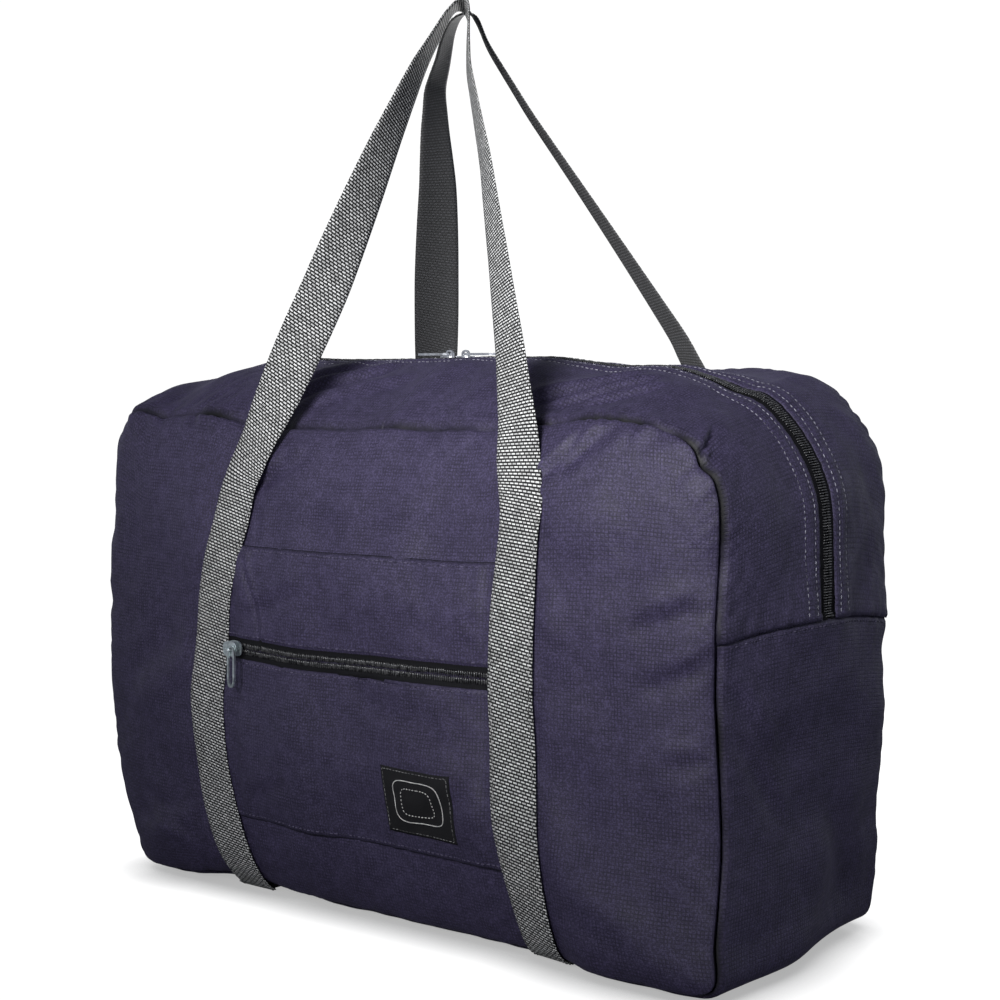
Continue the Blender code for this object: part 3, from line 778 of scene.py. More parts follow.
def ripstop(name, colour, pitch=0.0021):
    """Fine nylon with a grid of doubled threads, a little crushed and uneven in colour; shade is
    painted near black into its seams.
    """
    paint = Paint(name, 0.60, specular=0.22, sheen=0.03, sheen_tint=(0.50, 0.45, 0.90))
    seam = paint.node("ShaderNodeAttribute", attribute_name="shade").outputs["Fac"]
    lines = []
    for way in paint.uv():
        wave = paint.math("PINGPONG", paint.math("DIVIDE", way, pitch), 0.5)
        lines.append(paint.ramp(wave, 0.08, 0.24, 1.0, 0.0))
    grid = paint.math("MAXIMUM", *lines)
    worn = paint.noise(950.0, 2.0, 0.7)
    cloud = paint.noise(16.0, 4.0, 0.6)
    faded = paint.ramp(paint.noise(120.0, 2.0), 0.32, 0.68, 0.25, 1.0)
    dark = times(colour, 0.45)
    light = times(colour, 1.30)
    ground = paint.blend(paint.ramp(cloud, 0.30, 0.70), times(colour, 1.05), light)
    specks = paint.ramp(worn, 0.44, 0.62, 0.0, 0.80)
    ground = paint.blend(specks, ground, times(colour, 2.7))
    shade = paint.blend(paint.math("MULTIPLY", paint.math("MULTIPLY", grid, faded), 0.65), ground, dark)
    # Painted shade: the colour goes near black where the piece's shade is high, in its seams.
    shade = paint.blend(seam, shade, (0.0015, 0.0015, 0.0025))
    crush = paint.noise(55.0, 5.0, 0.62)
    height = paint.math("MULTIPLY_ADD", grid, -0.22, paint.math("MULTIPLY", worn, 0.30))
    height = paint.math("MULTIPLY_ADD", crush, 1.1, height)
    rough = paint.ramp(crush, 0.2, 0.8, 0.50, 0.66)
    return paint.finish(shade, height, 0.40, 0.0009, rough)


def woven(name, dark, light, pitch=0.0019, across=0.0031, slope=-0.18, sheen=0.02):
    """Heavy webbing: rows of light dashes that climb across a dark ground; its reverse is painted dull
    and darker, as shade.
    """
    paint = Paint(name, 0.80, specular=0.15, sheen=sheen)
    reverse = paint.node("ShaderNodeAttribute", attribute_name="shade").outputs["Fac"]
    u, v = paint.uv()
    climb = paint.math("DIVIDE", paint.math("MULTIPLY_ADD", u, -slope, v), pitch)
    row = paint.math("FLOOR", climb)
    inside = paint.math("FRACT", climb)
    step = paint.math("MULTIPLY_ADD", row, 0.37, paint.math("DIVIDE", u, across))
    cell = paint.math("FLOOR", step)
    dash = paint.math("FRACT", step)
    band = paint.ramp(paint.math("ABSOLUTE", paint.math("SUBTRACT", inside, 0.5)), 0.15, 0.33, 1.0, 0.0)
    bar = paint.ramp(paint.math("ABSOLUTE", paint.math("SUBTRACT", dash, 0.5)), 0.32, 0.44, 1.0, 0.0)
    mark = paint.math("MULTIPLY", band, bar)
    where = paint.node("ShaderNodeCombineXYZ", {0: cell, 1: row}).outputs[0]
    chance = paint.node("ShaderNodeTexWhiteNoise", {"Vector": where}, noise_dimensions="2D").outputs[0]
    level = paint.math("MULTIPLY", mark, paint.ramp(chance, 0.0, 1.0, 0.62, 1.0))
    fuzz = paint.noise(1400.0, 2.0, 0.7)
    wear = paint.noise(28.0, 3.0, 0.6)
    low = paint.blend(wear, dark, times(dark, 1.5))
    high = paint.blend(wear, times(light, 0.82), light)
    shade = paint.blend(paint.math("MULTIPLY", level, paint.ramp(fuzz, 0.2, 0.7, 0.75, 1.0)), low, high)
    # Painted shade: the reverse is a dull, darker grey without the bright dashes.
    shaded_reverse = paint.blend(paint.math("MULTIPLY", level, 0.5), times(dark, 6.5), (0.14, 0.14, 0.15))
    shade = paint.blend(reverse, shade, shaded_reverse)
    height = paint.math("MULTIPLY_ADD", mark, 0.8, paint.math("MULTIPLY", fuzz, 0.3))
    return paint.finish(shade, height, 0.6, 0.0005)


def tape(name, colour, rib=0.0011):
    """Woven zip tape with a fine rib along it; the rib's crests are painted lighter than its grooves,
    as light and shade.
    """
    paint = Paint(name, 0.70, specular=0.12)
    u, v = paint.uv()
    rib_u = paint.math("PINGPONG", paint.math("DIVIDE", u, rib), 0.5)
    rib_v = paint.math("PINGPONG", paint.math("DIVIDE", v, rib * 0.6), 0.5)
    weave = paint.math("MULTIPLY", rib_u, rib_v)
    fuzz = paint.noise(1200.0, 2.0, 0.6)
    # Painted light and shade: the rib's crests lighter, its grooves darker.
    crest = tuple(channel * 2.2 + 0.002 for channel in colour)
    shade = paint.blend(paint.ramp(weave, 0.0, 0.2), colour, crest)
    return paint.finish(shade, paint.math("MULTIPLY_ADD", weave, 2.0, fuzz), 0.4, 0.0003)


def thread(name, dark, light):
    """Sewing thread, twisted, with some stitches lighter than others."""
    paint = Paint(name, 0.5, specular=0.3)
    shade = paint.blend(paint.ramp(paint.noise(320.0, 1.0), 0.35, 0.65), dark, light)
    return paint.finish(shade, paint.noise(2600.0, 2.0), 0.3, 0.0002)


def nylon(name, dark, light):
    """Smooth plastic of the zip's teeth, with lighter patches painted on as glints."""
    paint = Paint(name, 0.22, specular=0.8)
    # The lighter patches are painted highlights on the teeth.
    shade = paint.blend(paint.ramp(paint.noise(500.0, 1.0), 0.3, 0.7), dark, light)
    return paint.finish(shade, paint.noise(1800.0), 0.1, 0.0001)


def plated(name, dark, light, roughness):
    """Cast metal under thin plating, with faint scratches and a mottled colour."""
    paint = Paint(name, roughness, metallic=1.0)
    inputs = {"Vector": paint.place(), "Scale": (60.0, 900.0, 900.0)}
    stretched = paint.node("ShaderNodeMapping", inputs)
    scratch = paint.noise(1.0, 3.0, 0.6, stretched.outputs[0])
    cast = paint.noise(420.0, 3.0, 0.6)
    shade = paint.blend(paint.ramp(cast, 0.25, 0.75), dark, light)
    rough = paint.ramp(scratch, 0.3, 0.8, roughness * 0.7, min(1.0, roughness * 1.6))
    return paint.finish(shade, paint.math("MULTIPLY_ADD", scratch, 0.5, cast), 0.12, 0.0002, rough)


NAVY = ripstop("navy_ripstop_cloth", (0.0235, 0.0197, 0.0410))
# A darker copy of the navy cloth for the pouch's lower half: painted shade.
NAVY_SHADED = ripstop("navy_ripstop_pouch_shaded", (0.0222, 0.0188, 0.0385))
GREY = woven("salt_and_pepper_webbing", (0.007, 0.007, 0.007), (0.745, 0.75, 0.745))
TAPE = tape("black_zip_tape", (0.004, 0.004, 0.005))
TEETH = nylon("black_coil", (0.006, 0.006, 0.007), (0.055, 0.055, 0.057))
THREAD = thread("navy_thread", (0.05, 0.047, 0.07), (0.20, 0.195, 0.24))
DARK_THREAD = thread("dark_navy_thread", (0.020, 0.017, 0.038), (0.085, 0.075, 0.125))
GREY_THREAD = thread("grey_thread", (0.05, 0.05, 0.05), (0.30, 0.30, 0.30))
STEEL = plated("bright_plating", (0.42, 0.43, 0.45), (0.66, 0.67, 0.69), 0.28)
GUNMETAL = plated("dark_plating", (0.50, 0.57, 0.58), (0.76, 0.82, 0.83), 0.42)
LABEL = tape("label_weave", (0.008, 0.008, 0.009), 0.0008)
LABEL_THREAD = thread("label_white_thread", (0.42, 0.42, 0.41), (0.66, 0.66, 0.64))


# ---- Panels and gusset ----


def spaced(start, end, count, ends=0.55):
    """Numbers from start to end, closer together near both ends."""
    t = np.linspace(-1, 1, count)
    eased = (1 - ends) * t + ends * np.sin(t * math.pi / 2)
    return mix(start, end, (eased + 1) / 2)


def build_panel(face_name, face):
    """A panel's cloth on a square grid drawn out to the outline."""
    u, v = np.meshgrid(spaced(-1, 1, 201, 0.8), spaced(-1, 1, 131, 0.8))
    size = np.maximum(np.abs(u), np.abs(v))
    size = np.where(size < 1e-9, 1.0, size)
    rim_x, rim_z = rim(np.arctan2(u / size, v / size))
    x, z = rim_x * size, MIDDLE + (rim_z - MIDDLE) * size
    x, z = np.where((u == 0) & (v == 0), 0.0, x), np.where((u == 0) & (v == 0), MIDDLE, z)
    grid = panel_at(x, z, face)
    angle = rim_turn(x, z)
    # Shade painted into the seam round the panel's outline.
    depth = painted_seam_shade(length_at(angle), edge_distance(x, z))
    uvs = uv_of(x, z)
    piece = cloth_piece(f"{face_name}_cloth", grid, uvs, NAVY, outward=(0, face, 0), shade=depth)
    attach(piece, "shell")
    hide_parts(face_name + "_panel")


def build_lower():
    """One cloth from an end seam down, under the bag and up to the other end seam."""
    start = length_at(rim_angle_at_z(END_SEAM))
    lengths = np.linspace(start, PERIMETER - start, 330)
    y = spaced(-HALF_DEPTH, HALF_DEPTH, 65, 0.75)
    along, across = np.meshgrid(lengths, y, indexing="ij")
    angle = angle_at(along)
    tuck = bell(np.minimum(along - start, PERIMETER - start - along), 0.0018)
    grid = gusset_at(angle, across, -0.0010 * tuck)
    outward = gusset_normal(angle, across)
    to_end = np.minimum(along - start, PERIMETER - start - along)
    # Shade painted into the side seams and, darker, along the fold at each end seam.
    depth = np.maximum(painted_seam_shade(along, HALF_DEPTH - np.abs(across)), 0.9 * bell(to_end, 0.0012))
    uvs = uv_of(along, across)
    piece = cloth_piece("lower_cloth", grid, uvs, NAVY, outward=outward, shade=depth)
    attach(piece, "shell")
    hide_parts("lower_gusset")
    for side_name, side in SIDES.items():
        row = np.linspace(-HALF_DEPTH + 0.003, HALF_DEPTH - 0.003, 200)
        down = angle_at(start + 0.0035) * side
        path, up = gusset_at(down, row, 0.0003), gusset_normal(np.full_like(row, down), row)
        seam = stitches(f"{side_name}_end_stitches", path, up, DARK_THREAD)
        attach(seam, "shell")


def bend_with_flap(piece):
    """The piece's placement is baked into its mesh where it stands; it is tied to neither the flap nor
    the shell.
    """
    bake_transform(piece)


def build_top(side_name, side, face_name, face):
    """A quarter of the top: cloth, zip tape, coil and topstitching, from the middle to the end."""
    end = length_at(rim_angle_at_z(END_SEAM)) + 0.0006
    lengths = np.linspace(0, end, 185) * side
    y = face * spaced(ZIP_HALF, HALF_DEPTH, 44, 0.6)
    along, across = np.meshgrid(lengths, y, indexing="ij")
    angle = angle_at(along)
    hem = bell(np.abs(across) - ZIP_HALF, 0.0010)
    fold = bell(end - np.abs(along), 0.0016)
    ending = smooth((0.02 - end + np.abs(along)) / 0.02)
    grid = gusset_at(angle, across, 0.0005 - 0.0009 * hem + 0.0011 * (1 - fold) * ending)
    outward = gusset_normal(angle, across)
    name = f"{face_name}_{side_name}_top"
    inside = grid[:, -1:] - rim_normal(angle[:, -1:]) * 0.0040  # the seam allowance, turned in
    grid = np.concatenate([grid, inside], axis=1)
    along, across, angle = (
        np.concatenate([each, each[:, -1:]], axis=1) for each in (along, across, angle)
    )
    outward = np.concatenate([outward, outward[:, -1:]], axis=1)
    # Shade painted into the seam along the gusset's edge.
    depth = painted_seam_shade(along, HALF_DEPTH - np.abs(across))
    if face < 0 < side:  # the tuck that runs off the seam at this corner
        # Shade is painted along the tuck's line as well.
        off_seam = HALF_DEPTH - np.abs(across)
        off_tuck = (wrapped(angle) - TUCK_ANGLE) * HALF_HEIGHT * 1.3 + 0.35 * off_seam
        depth = np.maximum(depth, bell(off_tuck, 0.0009) * smooth(1.5 - off_seam / 0.006))
    piece = cloth_piece(name + "_cloth", grid, uv_of(along, across), NAVY, outward=outward, shade=depth)
    bend_with_flap(piece)
    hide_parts(f"{face_name}_{side_name}_gusset", f"{face_name}_flap")

    y = face * np.linspace(0.0014, ZIP_HALF + 0.003, 7)
    along, across = np.meshgrid(lengths, y, indexing="ij")
    angle = angle_at(along)
    grid = gusset_at(angle, across, -0.0007)
    uvs = uv_of(along, across)
    band = cloth_piece(name + "_tape", grid, uvs, TAPE, 0.0005, gusset_normal(angle, across))
    bend_with_flap(band)
    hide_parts(f"{face_name}_{side_name}_tape", f"{face_name}_mouth_tape")

    row = angle_at(np.linspace(0, end - 0.001, 900) * side)
    up = gusset_normal(row, np.full_like(row, face * TOOTH_OFFSET))
    shift = TOOTH_PITCH / 2 if face > 0 else 0.0
    bars = coil(name + "_coil", gusset_at(row, face * TOOTH_OFFSET), up, shift)
    bend_with_flap(bars)
    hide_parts(f"{face_name}_{side_name}_coil", f"{face_name}_mouth_coil")

    for number, offset in enumerate(STITCH_ROWS, 1):
        ending = smooth((0.02 - end + np.abs(length_at(row))) / 0.02)
        path = gusset_at(row, face * offset, 0.0007 + 0.0011 * ending)
        up = gusset_normal(row, np.full_like(row, face * offset))
        sewn = stitches(f"{name}_stitches_{number}", path, up, THREAD)
        bend_with_flap(sewn)


# ---- Pouch ----


def pouch_relief(x, z, upper):
    """How far the pouch's cloth stands off the panel under it."""
    low, high = (POUCH_ZIP, POUCH_HIGH) if upper else (POUCH_LOW, POUCH_ZIP)
    share = np.clip((z - low) / (high - low), 0, 1)
    width = np.maximum(0.0, 1 - np.abs(x / (POUCH_HALF + 0.003)) ** 6)
    full = 0.0012 + (0.0016 if upper else 0.0030) * (4 * share * (1 - share)) ** 0.7 * width
    edge = np.minimum(z - POUCH_LOW, POUCH_HIGH - z)
    full = full - 0.0008 * bell(edge, 0.0016)
    relief = 0.00075 * BROAD(x * 1.5, z + 2.0) + 0.00050 * MEDIUM(x, z + 3.0) + 0.00008 * SMALL(x, z)
    to_zip = np.abs(z - POUCH_ZIP) - ZIP_HALF
    relief = relief + 0.00030 * gathers(83 + upper, x, np.maximum(to_zip, 0), 0.011, 0.012, 0.3)
    relief = relief + 0.00045 * gathers(91, x, np.maximum(edge, 0), 0.014, 0.010, -0.3)
    creases = (
        ((-0.097, 0.226), (-0.080, 0.186), 0.0018, 0.0019),
        ((-0.084, 0.202), (-0.077, 0.158), 0.0018, 0.0019),
        ((-0.100, 0.176), (-0.030, 0.206), 0.0060, 0.0010),
        ((-0.020, 0.150), (0.090, 0.120), 0.0100, 0.0012),
        ((0.040, 0.060), (0.096, 0.100), 0.0070, 0.0014),
        ((-0.096, 0.062), (-0.050, 0.085), 0.0060, 0.0012),
    )
    for start, end, thick, depth in creases:
        relief = relief + crease(x, z, start, end, thick, depth)
    calm = 1 - smooth((np.abs(x) - POUCH_HALF + 0.010) / 0.010)
    return full * np.maximum(calm, 0.35) + relief * calm


def zip_line(x):
    """The pouch zip dips a little left of its middle."""
    return -0.0020 * bell(x + 0.035, 0.05)


def pouch_at(x, z, upper, lift=0.0):
    x, z = np.broadcast_arrays(np.asarray(x, float), np.asarray(z, float))
    near = bell(z - POUCH_ZIP, 0.045)
    dropped = z + zip_line(x) * near
    plain = BROAD_HEIGHT * BROAD(x, dropped)
    base = panel_base(x, dropped, -1)
    normal = panel_normal(x, dropped, -1)
    height = np.maximum(plain, panel_relief(x, dropped, -1)) + pouch_relief(x, z, upper) + lift
    return base + normal * height[..., None]


def build_pouch():
    reach = (-POUCH_HALF - 0.0140, POUCH_HALF + 0.0090)  # both ends are tucked under the webbing
    low, high = POUCH_ZIP - ZIP_HALF, POUCH_ZIP + ZIP_HALF
    for name, upper, start, end in (("lower", 0, POUCH_LOW, low), ("upper", 1, high, POUCH_HIGH)):
        across, up = np.meshgrid(np.linspace(*reach, 121), spaced(start, end, 62, 0.7))
        hem = bell(np.minimum(np.abs(up - low), np.abs(up - high)), 0.0010)
        grid = pouch_at(across, up, upper, 0.0004 - 0.0007 * hem)
        uvs = uv_of(across, up)
        edge = np.abs(up - (POUCH_HIGH if upper else POUCH_LOW))
        # Shade painted along the pouch's top edge and its bottom edge.
        depth = 0.85 * bell(edge, 0.0011)
        # The pouch's lower half takes the darker copy of the cloth: painted shade.
        cloth = NAVY if upper else NAVY_SHADED
        piece = cloth_piece(f"pouch_{name}_cloth", grid, uvs, cloth, outward=(0, -1, 0), shade=depth)
        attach(piece, "shell")
        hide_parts(f"pouch_{name}")

        sign = 1 if upper else -1
        rows = POUCH_ZIP + sign * np.linspace(0.0014, ZIP_HALF + 0.0025, 6)
        across, up = np.meshgrid(np.linspace(*reach, 80), rows)
        grid = pouch_at(across, up, upper, -0.0004)
        uvs = uv_of(across, up)
        band = cloth_piece(f"pouch_{name}_zip_tape", grid, uvs, TAPE, 0.0005, outward=(0, -1, 0))
        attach(band, "shell")
        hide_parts(f"pouch_{name}_tape")

        x = np.linspace(*reach, 500)
        line = np.full_like(x, POUCH_ZIP + sign * TOOTH_OFFSET)
        path, up = pouch_at(x, line, upper, 0.0001), panel_normal(x, line, -1)
        bars = coil(f"pouch_{name}_zip_coil", path, up, TOOTH_PITCH / 2 if upper else 0.0)
        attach(bars, "shell")
        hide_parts(f"pouch_{name}_coil")

        rows = [POUCH_ZIP + sign * (ZIP_HALF + 0.0022)]
        rows.append(POUCH_HIGH - 0.0030 if upper else POUCH_LOW + 0.0030)
        for number, height in enumerate(rows, 1):
            line = np.full_like(x, height)
            path, up = pouch_at(x, line, upper, 0.0005), panel_normal(x, line, -1)
            sewn = stitches(f"pouch_{name}_stitches_{number}", path, up, DARK_THREAD)
            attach(sewn, "shell")


def build_label():
    left, right = LABEL_LOW.x, LABEL_HIGH.x
    bottom, top = LABEL_LOW.z, LABEL_HIGH.z
    across, up = np.meshgrid(np.linspace(left, right, 41), np.linspace(bottom, top, 31))
    edge = np.minimum(np.minimum(across - left, right - across), np.minimum(up - bottom, top - up))
    lift = 0.0011 - 0.0004 * bell(edge, 0.0008)
    grid = pouch_at(across, up, 0, lift)
    piece = cloth_piece("label_cloth", grid, uv_of(across, up), LABEL, 0.0005, outward=(0, -1, 0))
    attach(piece, "shell")
    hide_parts("woven_label")

    inset = 0.0016
    west, east, south, north = left + inset, right - inset, bottom + inset, top - inset
    corners = [(west, south), (east, south), (east, north), (west, north), (west, south)]
    path = np.concatenate([np.linspace(a, b, 60) for a, b in zip(corners, corners[1:])])
    x, z = path[:, 0], path[:, 1]
    path, up = pouch_at(x, z, 0, 0.0011), panel_normal(x, z, -1)
    sewn = stitches("label_border_stitches", path, up, GREY_THREAD, 0.0026, 0.0019, 0.0004)
    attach(sewn, "shell")

    # A plain rounded frame with a dotted one inside it, in place of any mark.
    middle_x, middle_z = (left + right) / 2 + 0.0010, (bottom + top) / 2 + 0.0010
    frames = (("frame", 0.0125, 0.0010, 0.0013), ("dotted_frame", 0.0080, 0.0022, 0.0012))
    for name, reach, pitch, length in frames:
        turns = np.linspace(0, 2 * math.pi + pitch / reach, 400)
        across, up = np.sin(turns), np.cos(turns)
        size = (np.abs(across) ** 5 + np.abs(up) ** 5) ** 0.2
        x, z = middle_x + 1.45 * reach * across / size, middle_z + reach * up / size
        path, up = pouch_at(x, z, 0, 0.0012), panel_normal(x, z, -1)
        sewn = stitches(f"label_{name}", path, up, LABEL_THREAD, pitch, length, 0.0006)
        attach(sewn, "shell")


# ---- Webbing ----


def handle_centre(share, face):
    """The handle's centre line; share runs from -1 at its left foot over 0, its top, to 1."""
    inner = panel_base(WEB_X - WEB_WIDTH / 2, WEB_TOP, face)[1] + face * (WEB_LIFT + WEB / 2)
    tip_x, tip_y = APEX_OFFSET[0] * -face, APEX_OFFSET[1] * -face
    turn = np.hypot(share, APEX_ROUND)
    height = 1 - (turn - APEX_ROUND) / (math.hypot(1, APEX_ROUND) - APEX_ROUND)
    skew = APEX_SKEW * share * bell(share, APEX_SPAN)
    lean = np.maximum(0.0, height) ** LEAN_EASE
    y = mix(inner, tip_y, lean) + skew
    x = WEB_X * share + tip_x * height
    if face < 0:
        x = x + drawn(share, FRONT_HANDLE)
    else:
        x = x + drawn(share, REAR_HANDLE)
        y = y + drawn(share, REAR_HANDLE_OUT)
    return points(x, y, mix(WEB_TOP + 2 * GAP, APEX_Z, height)), height


def handle_frame(share, face):
    """The centre and the width direction of the handle's webbing."""
    small = 0.001
    centre, height = handle_centre(share, face)
    tangent = unit(handle_centre(share + small, face)[0] - handle_centre(share - small, face)[0])
    left_ease, right_ease = TWIST_EASE[face]
    start = 180.0 if face < 0 else 0.0
    free = np.maximum(0.0, height - TWIST_START) / (1 - TWIST_START)
    left_twist = start + LEFT_TWIST * free**left_ease
    right_twist = start + 180.0 - RIGHT_TWIST * free**right_ease
    twist = np.where(share < 0, left_twist, right_twist)
    level = points(np.cos(np.radians(twist)), np.sin(np.radians(twist)), 0.0)
    square = unit(level - tangent * (level * tangent).sum(-1, keepdims=True))
    width = unit(mix(level, square, smooth(height / LEVEL_STRETCH)[:, None]))
    return centre, width


def softened(rows, reach):
    """Rows of points with kinks along them rounded by a moving average."""
    for _ in range(reach):
        rows = np.concatenate([rows[:1], (rows[:-2] + 2 * rows[1:-1] + rows[2:]) / 4, rows[-1:]])
    return rows


def strap(name, left, right, reverse=-1):
    """Webbing between two edge lines: a closed band with rounded edges, and where its faces are.

    Its reverse, painted duller and darker as shade, lies on this side of the normal: 1 or -1.
    """
    middle = (left + right) / 2
    across = unit(right - left)
    along = unit(np.gradient(middle, axis=0))
    normal = unit(np.cross(across, along))
    half = np.linalg.norm(right - left, axis=1) / 2
    lengths = run_lengths(middle)
    upper = np.linspace(-1, 1, 11)
    shares = np.concatenate([upper, upper[::-1]])
    rises = (1.0 - 0.75 * np.abs(shares) ** 14) * np.repeat((1, -1), len(upper))
    ring = [
        middle + across * (half * share)[:, None] + normal * (WEB / 2 * rise)
        for share, rise in zip(shares, rises)
    ]
    grid = np.stack(ring, axis=1)
    rows, columns = grid.shape[:2]
    index = np.arange(rows * columns).reshape(rows, columns)
    after = np.roll(index, -1, axis=1)
    faces = [np.stack([index[:-1], after[:-1], after[1:], index[1:]], axis=-1).reshape(-1, 4)]
    opposite = columns - 1
    for row, flip in ((0, 1), (rows - 1, -1)):
        ends = index[row]
        caps = [(ends[n], ends[n + 1], ends[opposite - n - 1], ends[opposite - n]) for n in range(10)]
        faces.append(np.array(caps)[:, ::-flip])
    faces = np.concatenate(faces)
    uvs = np.stack([shares[None] * half[:, None], lengths[:, None] + np.zeros((1, columns))], axis=-1)
    shade = np.broadcast_to(np.where(rises * reverse > 0, 1.0, 0.0), (rows, columns))
    piece = new_piece(name, grid.reshape(-1, 3), faces, GREY, uvs.reshape(-1, 2), shade)
    return piece, middle, across, normal, half


def sewn_edges(side, face):
    """Left and right edge lines of the webbing sewn up a panel, from under the bag to its top."""
    z = np.concatenate([np.linspace(0.0050, 0.03, 16), np.linspace(0.03, WEB_TOP - 0.004, 80)[1:]])
    lines = []
    for half in (-WEB_WIDTH / 2, WEB_WIDTH / 2):
        edges = webbing_x(side, z, face) + half
        up, normal = panel_base(edges, z, face), panel_normal(edges, z, face)
        calm = 1 - np.exp(-edge_distance(edges, z) / 0.030)
        broad = BROAD_HEIGHT * BROAD(edges + 0.37 * (face > 0), z) * calm
        up = up + normal * (broad + WEB_LIFT + WEB / 2)[:, None]
        foot_x, foot_y = np.array([side * WEB_X + half, up[0, 0]]), np.array([0.90, 0.97]) * HALF_DEPTH
        foot = points(foot_x, face * foot_y, WEB / 2)
        lines.append(np.concatenate([foot, up]))
    return lines


def even_rows(lines, spacing=0.0028):
    """The same even steps along two edge lines, by the length of the line midway."""
    lengths = run_lengths((lines[0] + lines[1]) / 2)
    spots = np.linspace(0, lengths[-1], int(lengths[-1] / spacing))
    return [resampled(line, lengths, spots) for line in lines]


def below_handle(edges):
    """The sewn webbing's edges up to the handle's foot; slumped cloth can carry them past it."""
    kept = (edges[0] + edges[1])[:, 2] / 2 < WEB_TOP - 0.001
    return [np.minimum(edge[kept], (1.0, 1.0, WEB_TOP)) for edge in edges]


def build_webbing(face_name, face):
    """One length of webbing per face: up one side, over as the handle and down the other side."""
    shares = np.linspace(-1, 1, 700)
    shares = np.sign(shares) * np.abs(shares) ** 1.5
    centre, width = handle_frame(shares, face)
    if face < 0:
        width = -width
    rising = below_handle(sewn_edges(-1, face))
    loops = [centre + width * sign * WEB_WIDTH / 2 for sign in (-1, 1)]
    falling = [edge[::-1] for edge in below_handle(sewn_edges(1, face))]
    # an edge of the handle goes on from the nearer edge of the sewn webbing
    if np.linalg.norm(loops[0][0] - rising[0][-1]) > WEB_WIDTH / 2:
        loops = loops[::-1]
    if np.linalg.norm(loops[0][-1] - falling[0][0]) > WEB_WIDTH / 2:
        falling = falling[::-1]
    lines = even_rows([np.concatenate(parts) for parts in zip(rising, loops, falling)])
    middle = softened((lines[0] + lines[1]) / 2, 8)
    spread = unit(softened(lines[1] - lines[0], 8))
    left, right = middle - spread * WEB_WIDTH / 2, middle + spread * WEB_WIDTH / 2
    out = np.cross(right[4] - left[4], middle[5] - middle[4])[1] * face
    piece, middle, across, normal, half = strap(face_name + "_strap", left, right, -1 if out > 0 else 1)
    hinge_y = panel_base(WEB_X - WEB_WIDTH / 2, WEB_TOP, face)[1]
    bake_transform(piece)
    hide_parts(f"{face_name}_left_webbing", f"{face_name}_right_webbing", f"{face_name}_handle")

    sewn = middle[:, 2] < WEB_TOP - 0.002
    rising, falling = sewn & (middle[:, 0] < 0), sewn & (middle[:, 0] > 0)
    for side_name, rows in (("left", rising), ("right", falling)):
        for edge_name, share in (("outer", -0.86), ("inner", 0.86)):
            face_out = normal[rows] * np.sign(normal[rows][:, 1:2] * face + 1e-9)
            path = middle[rows] + across[rows] * (half[rows] * share)[:, None] + face_out * (WEB / 2)
            name = f"{face_name}_{side_name}_strap_{edge_name}_stitches"
            row = stitches(name, path, face_out, GREY_THREAD)
            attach(row, "shell")


def build_bottom_webbing():
    for side_name, side in SIDES.items():
        y = np.linspace(-HALF_DEPTH * 0.93, HALF_DEPTH * 0.93, 54)
        left, right = (points(side * WEB_X + sign * WEB_WIDTH / 2, y, WEB / 2) for sign in (1, -1))
        piece = strap(f"{side_name}_under_strap", left, right)[0]
        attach(piece, "shell")
        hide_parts(side_name + "_bottom_webbing")


# ---- Metal ----


def finish_metal():
    """The sliders and pulls keep their CAD shape, softened at the edges, with plated finishes."""
    finishes = {
        "left_slider": STEEL,
        "right_slider": STEEL,
        "left_pull": STEEL,
        "right_pull": STEEL,
        "pouch_slider": GUNMETAL,
        "pouch_pull": GUNMETAL,
    }
    for node, material in finishes.items():
        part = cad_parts[node]
        part.data.materials.clear()
        part.data.materials.append(material)
        bevel = part.modifiers.new("Soft edges", "BEVEL")
        bevel.width = 0.00022
        bevel.segments = 2
        bevel.limit_method = "ANGLE"
        bevel.angle_limit = math.radians(50)


# ---- Stage ----


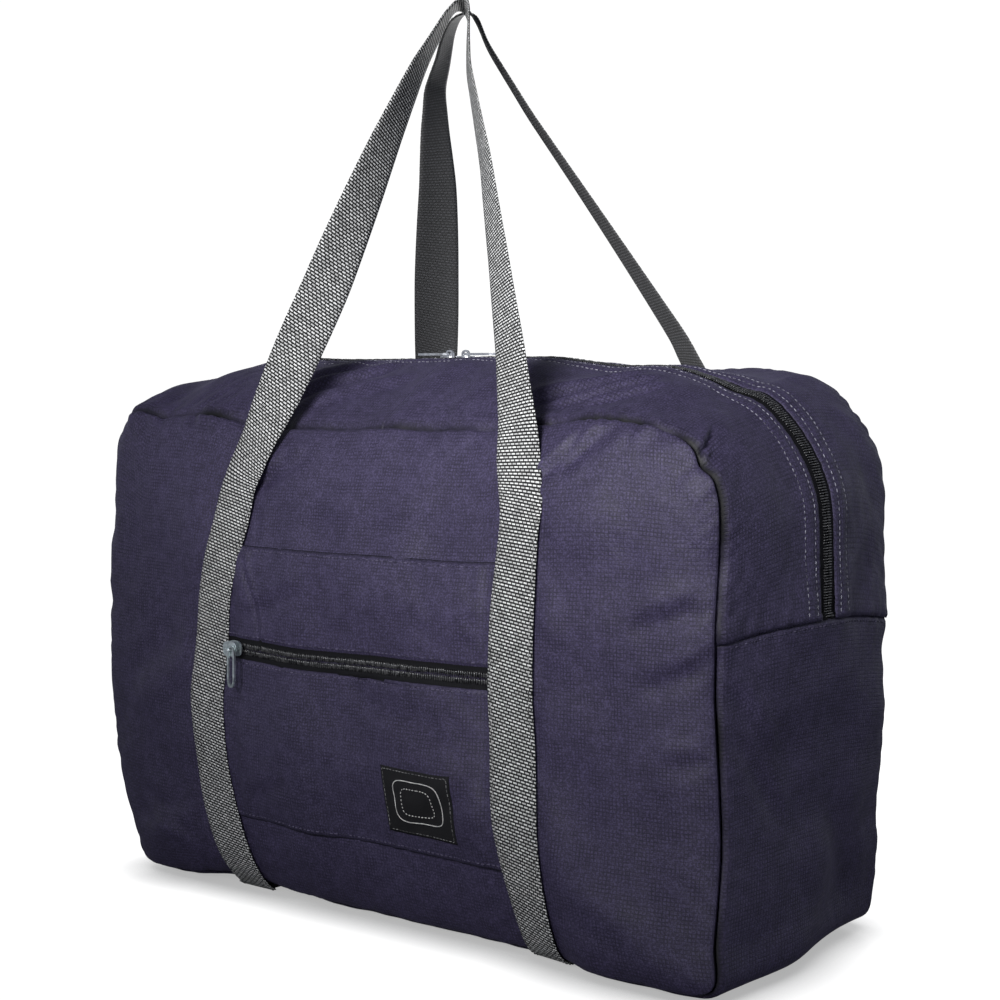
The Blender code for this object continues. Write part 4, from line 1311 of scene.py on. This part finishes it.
def build_stage():
    bpy.ops.mesh.primitive_plane_add(size=8)
    floor = bpy.context.object
    floor.name = "floor"
    surface = bpy.data.materials.new("pale_floor")
    surface.use_nodes = True
    tree = surface.node_tree
    shader = tree.nodes["Principled BSDF"]
    shader.inputs["Base Color"].default_value = (0.22, 0.22, 0.22, 1)
    shader.inputs["Roughness"].default_value = 0.9
    shader.inputs["Emission Color"].default_value = (1, 1, 1, 1)
    # The floor glows white for the camera only; ambient occlusion lowers that glow beside the bag into
    # a painted contact shadow.
    seen = add_node(tree, "ShaderNodeLightPath").outputs["Is Camera Ray"]
    contact_shadow = add_node(tree, "ShaderNodeAmbientOcclusion", {"Distance": 0.030}).outputs["AO"]
    inputs = {0: contact_shadow, 1: 0.30, 2: 0.95, 3: 0.40, 4: 1.0}
    reach = add_node(tree, "ShaderNodeMapRange", inputs).outputs[0]
    glow = add_node(tree, "ShaderNodeMath", {0: seen, 1: reach}, operation="MULTIPLY")
    tree.links.new(glow.outputs[0], shader.inputs["Emission Strength"])
    floor.data.materials.append(surface)

    world = bpy.data.worlds.new("studio")
    bpy.context.scene.world = world
    world.use_nodes = True
    tree = world.node_tree
    studio = tree.nodes["Background"]
    studio.inputs["Color"].default_value = (0.95, 0.99, 1.10, 1)
    place = add_node(tree, "ShaderNodeTexCoord").outputs["Generated"]
    way = add_node(tree, "ShaderNodeSeparateXYZ", {0: place}).outputs
    # the sky is brighter near the horizon than overhead, and a little brighter on the right
    inputs = {0: way["Z"], 1: 0.0, 2: 0.85, 3: 0.80, 4: 0.03}
    sky = add_node(tree, "ShaderNodeMapRange", inputs).outputs[0]
    inputs = {0: way["X"], 1: -1.0, 2: 1.0, 3: 0.80, 4: 1.25}
    right = add_node(tree, "ShaderNodeMapRange", inputs).outputs[0]
    both = add_node(tree, "ShaderNodeMath", {0: sky, 1: right}, operation="MULTIPLY")
    tree.links.new(both.outputs[0], studio.inputs["Strength"])
    inputs = {"Color": (1, 1, 1, 1), "Strength": 1.05}
    backdrop = add_node(tree, "ShaderNodeBackground", inputs).outputs[0]
    seen = add_node(tree, "ShaderNodeLightPath").outputs["Is Camera Ray"]
    either = add_node(tree, "ShaderNodeMixShader", {0: seen, 1: studio.outputs[0], 2: backdrop})
    tree.links.new(either.outputs[0], tree.nodes["World Output"].inputs[0])

    lamps = {
        "key": ((0.36, -1.10, 0.68), (0.08, 0.0, 0.42), 46.0, 0.22, 106.0),
        "rim": ((-0.70, 1.30, 0.20), (0.0, 0.0, 0.16), 60.0, 0.20, 90.0),
    }
    for name, (place, target, cone, size, power) in lamps.items():
        data = bpy.data.lights.new(name, "SPOT")
        data.spot_size = math.radians(cone)
        data.spot_blend = 1.0
        data.shadow_soft_size = size
        data.energy = power
        lamp = bpy.data.objects.new(name, data)
        lamp.location = place
        lamp.rotation_euler = (Vector(place) - Vector(target)).to_track_quat("Z", "Y").to_euler()
        bpy.context.scene.collection.objects.link(lamp)


def build_camera():
    azimuth, distance, height, pitch = math.radians(40.1), 1.249, 0.331, math.radians(3.7)
    data = bpy.data.cameras.new("camera")
    data.sensor_width = 36.0
    data.lens = 72.0
    data.shift_x = 0.0275
    camera = bpy.data.objects.new("camera", data)
    camera.location = (math.sin(azimuth) * distance, -math.cos(azimuth) * distance, height)
    camera.rotation_euler = (math.pi / 2 - pitch, 0, azimuth)
    bpy.context.scene.collection.objects.link(camera)
    bpy.context.scene.camera = camera


build_camera()
build_stage()
for face_name, face in FACES.items():
    build_panel(face_name, face)
build_lower()
for face_name, face in FACES.items():
    for side_name, side in SIDES.items():
        build_top(side_name, side, face_name, face)
build_pouch()
build_label()
for face_name, face in FACES.items():
    build_webbing(face_name, face)
build_bottom_webbing()
finish_metal()
bpy.context.scene.view_settings.view_transform = "Standard"
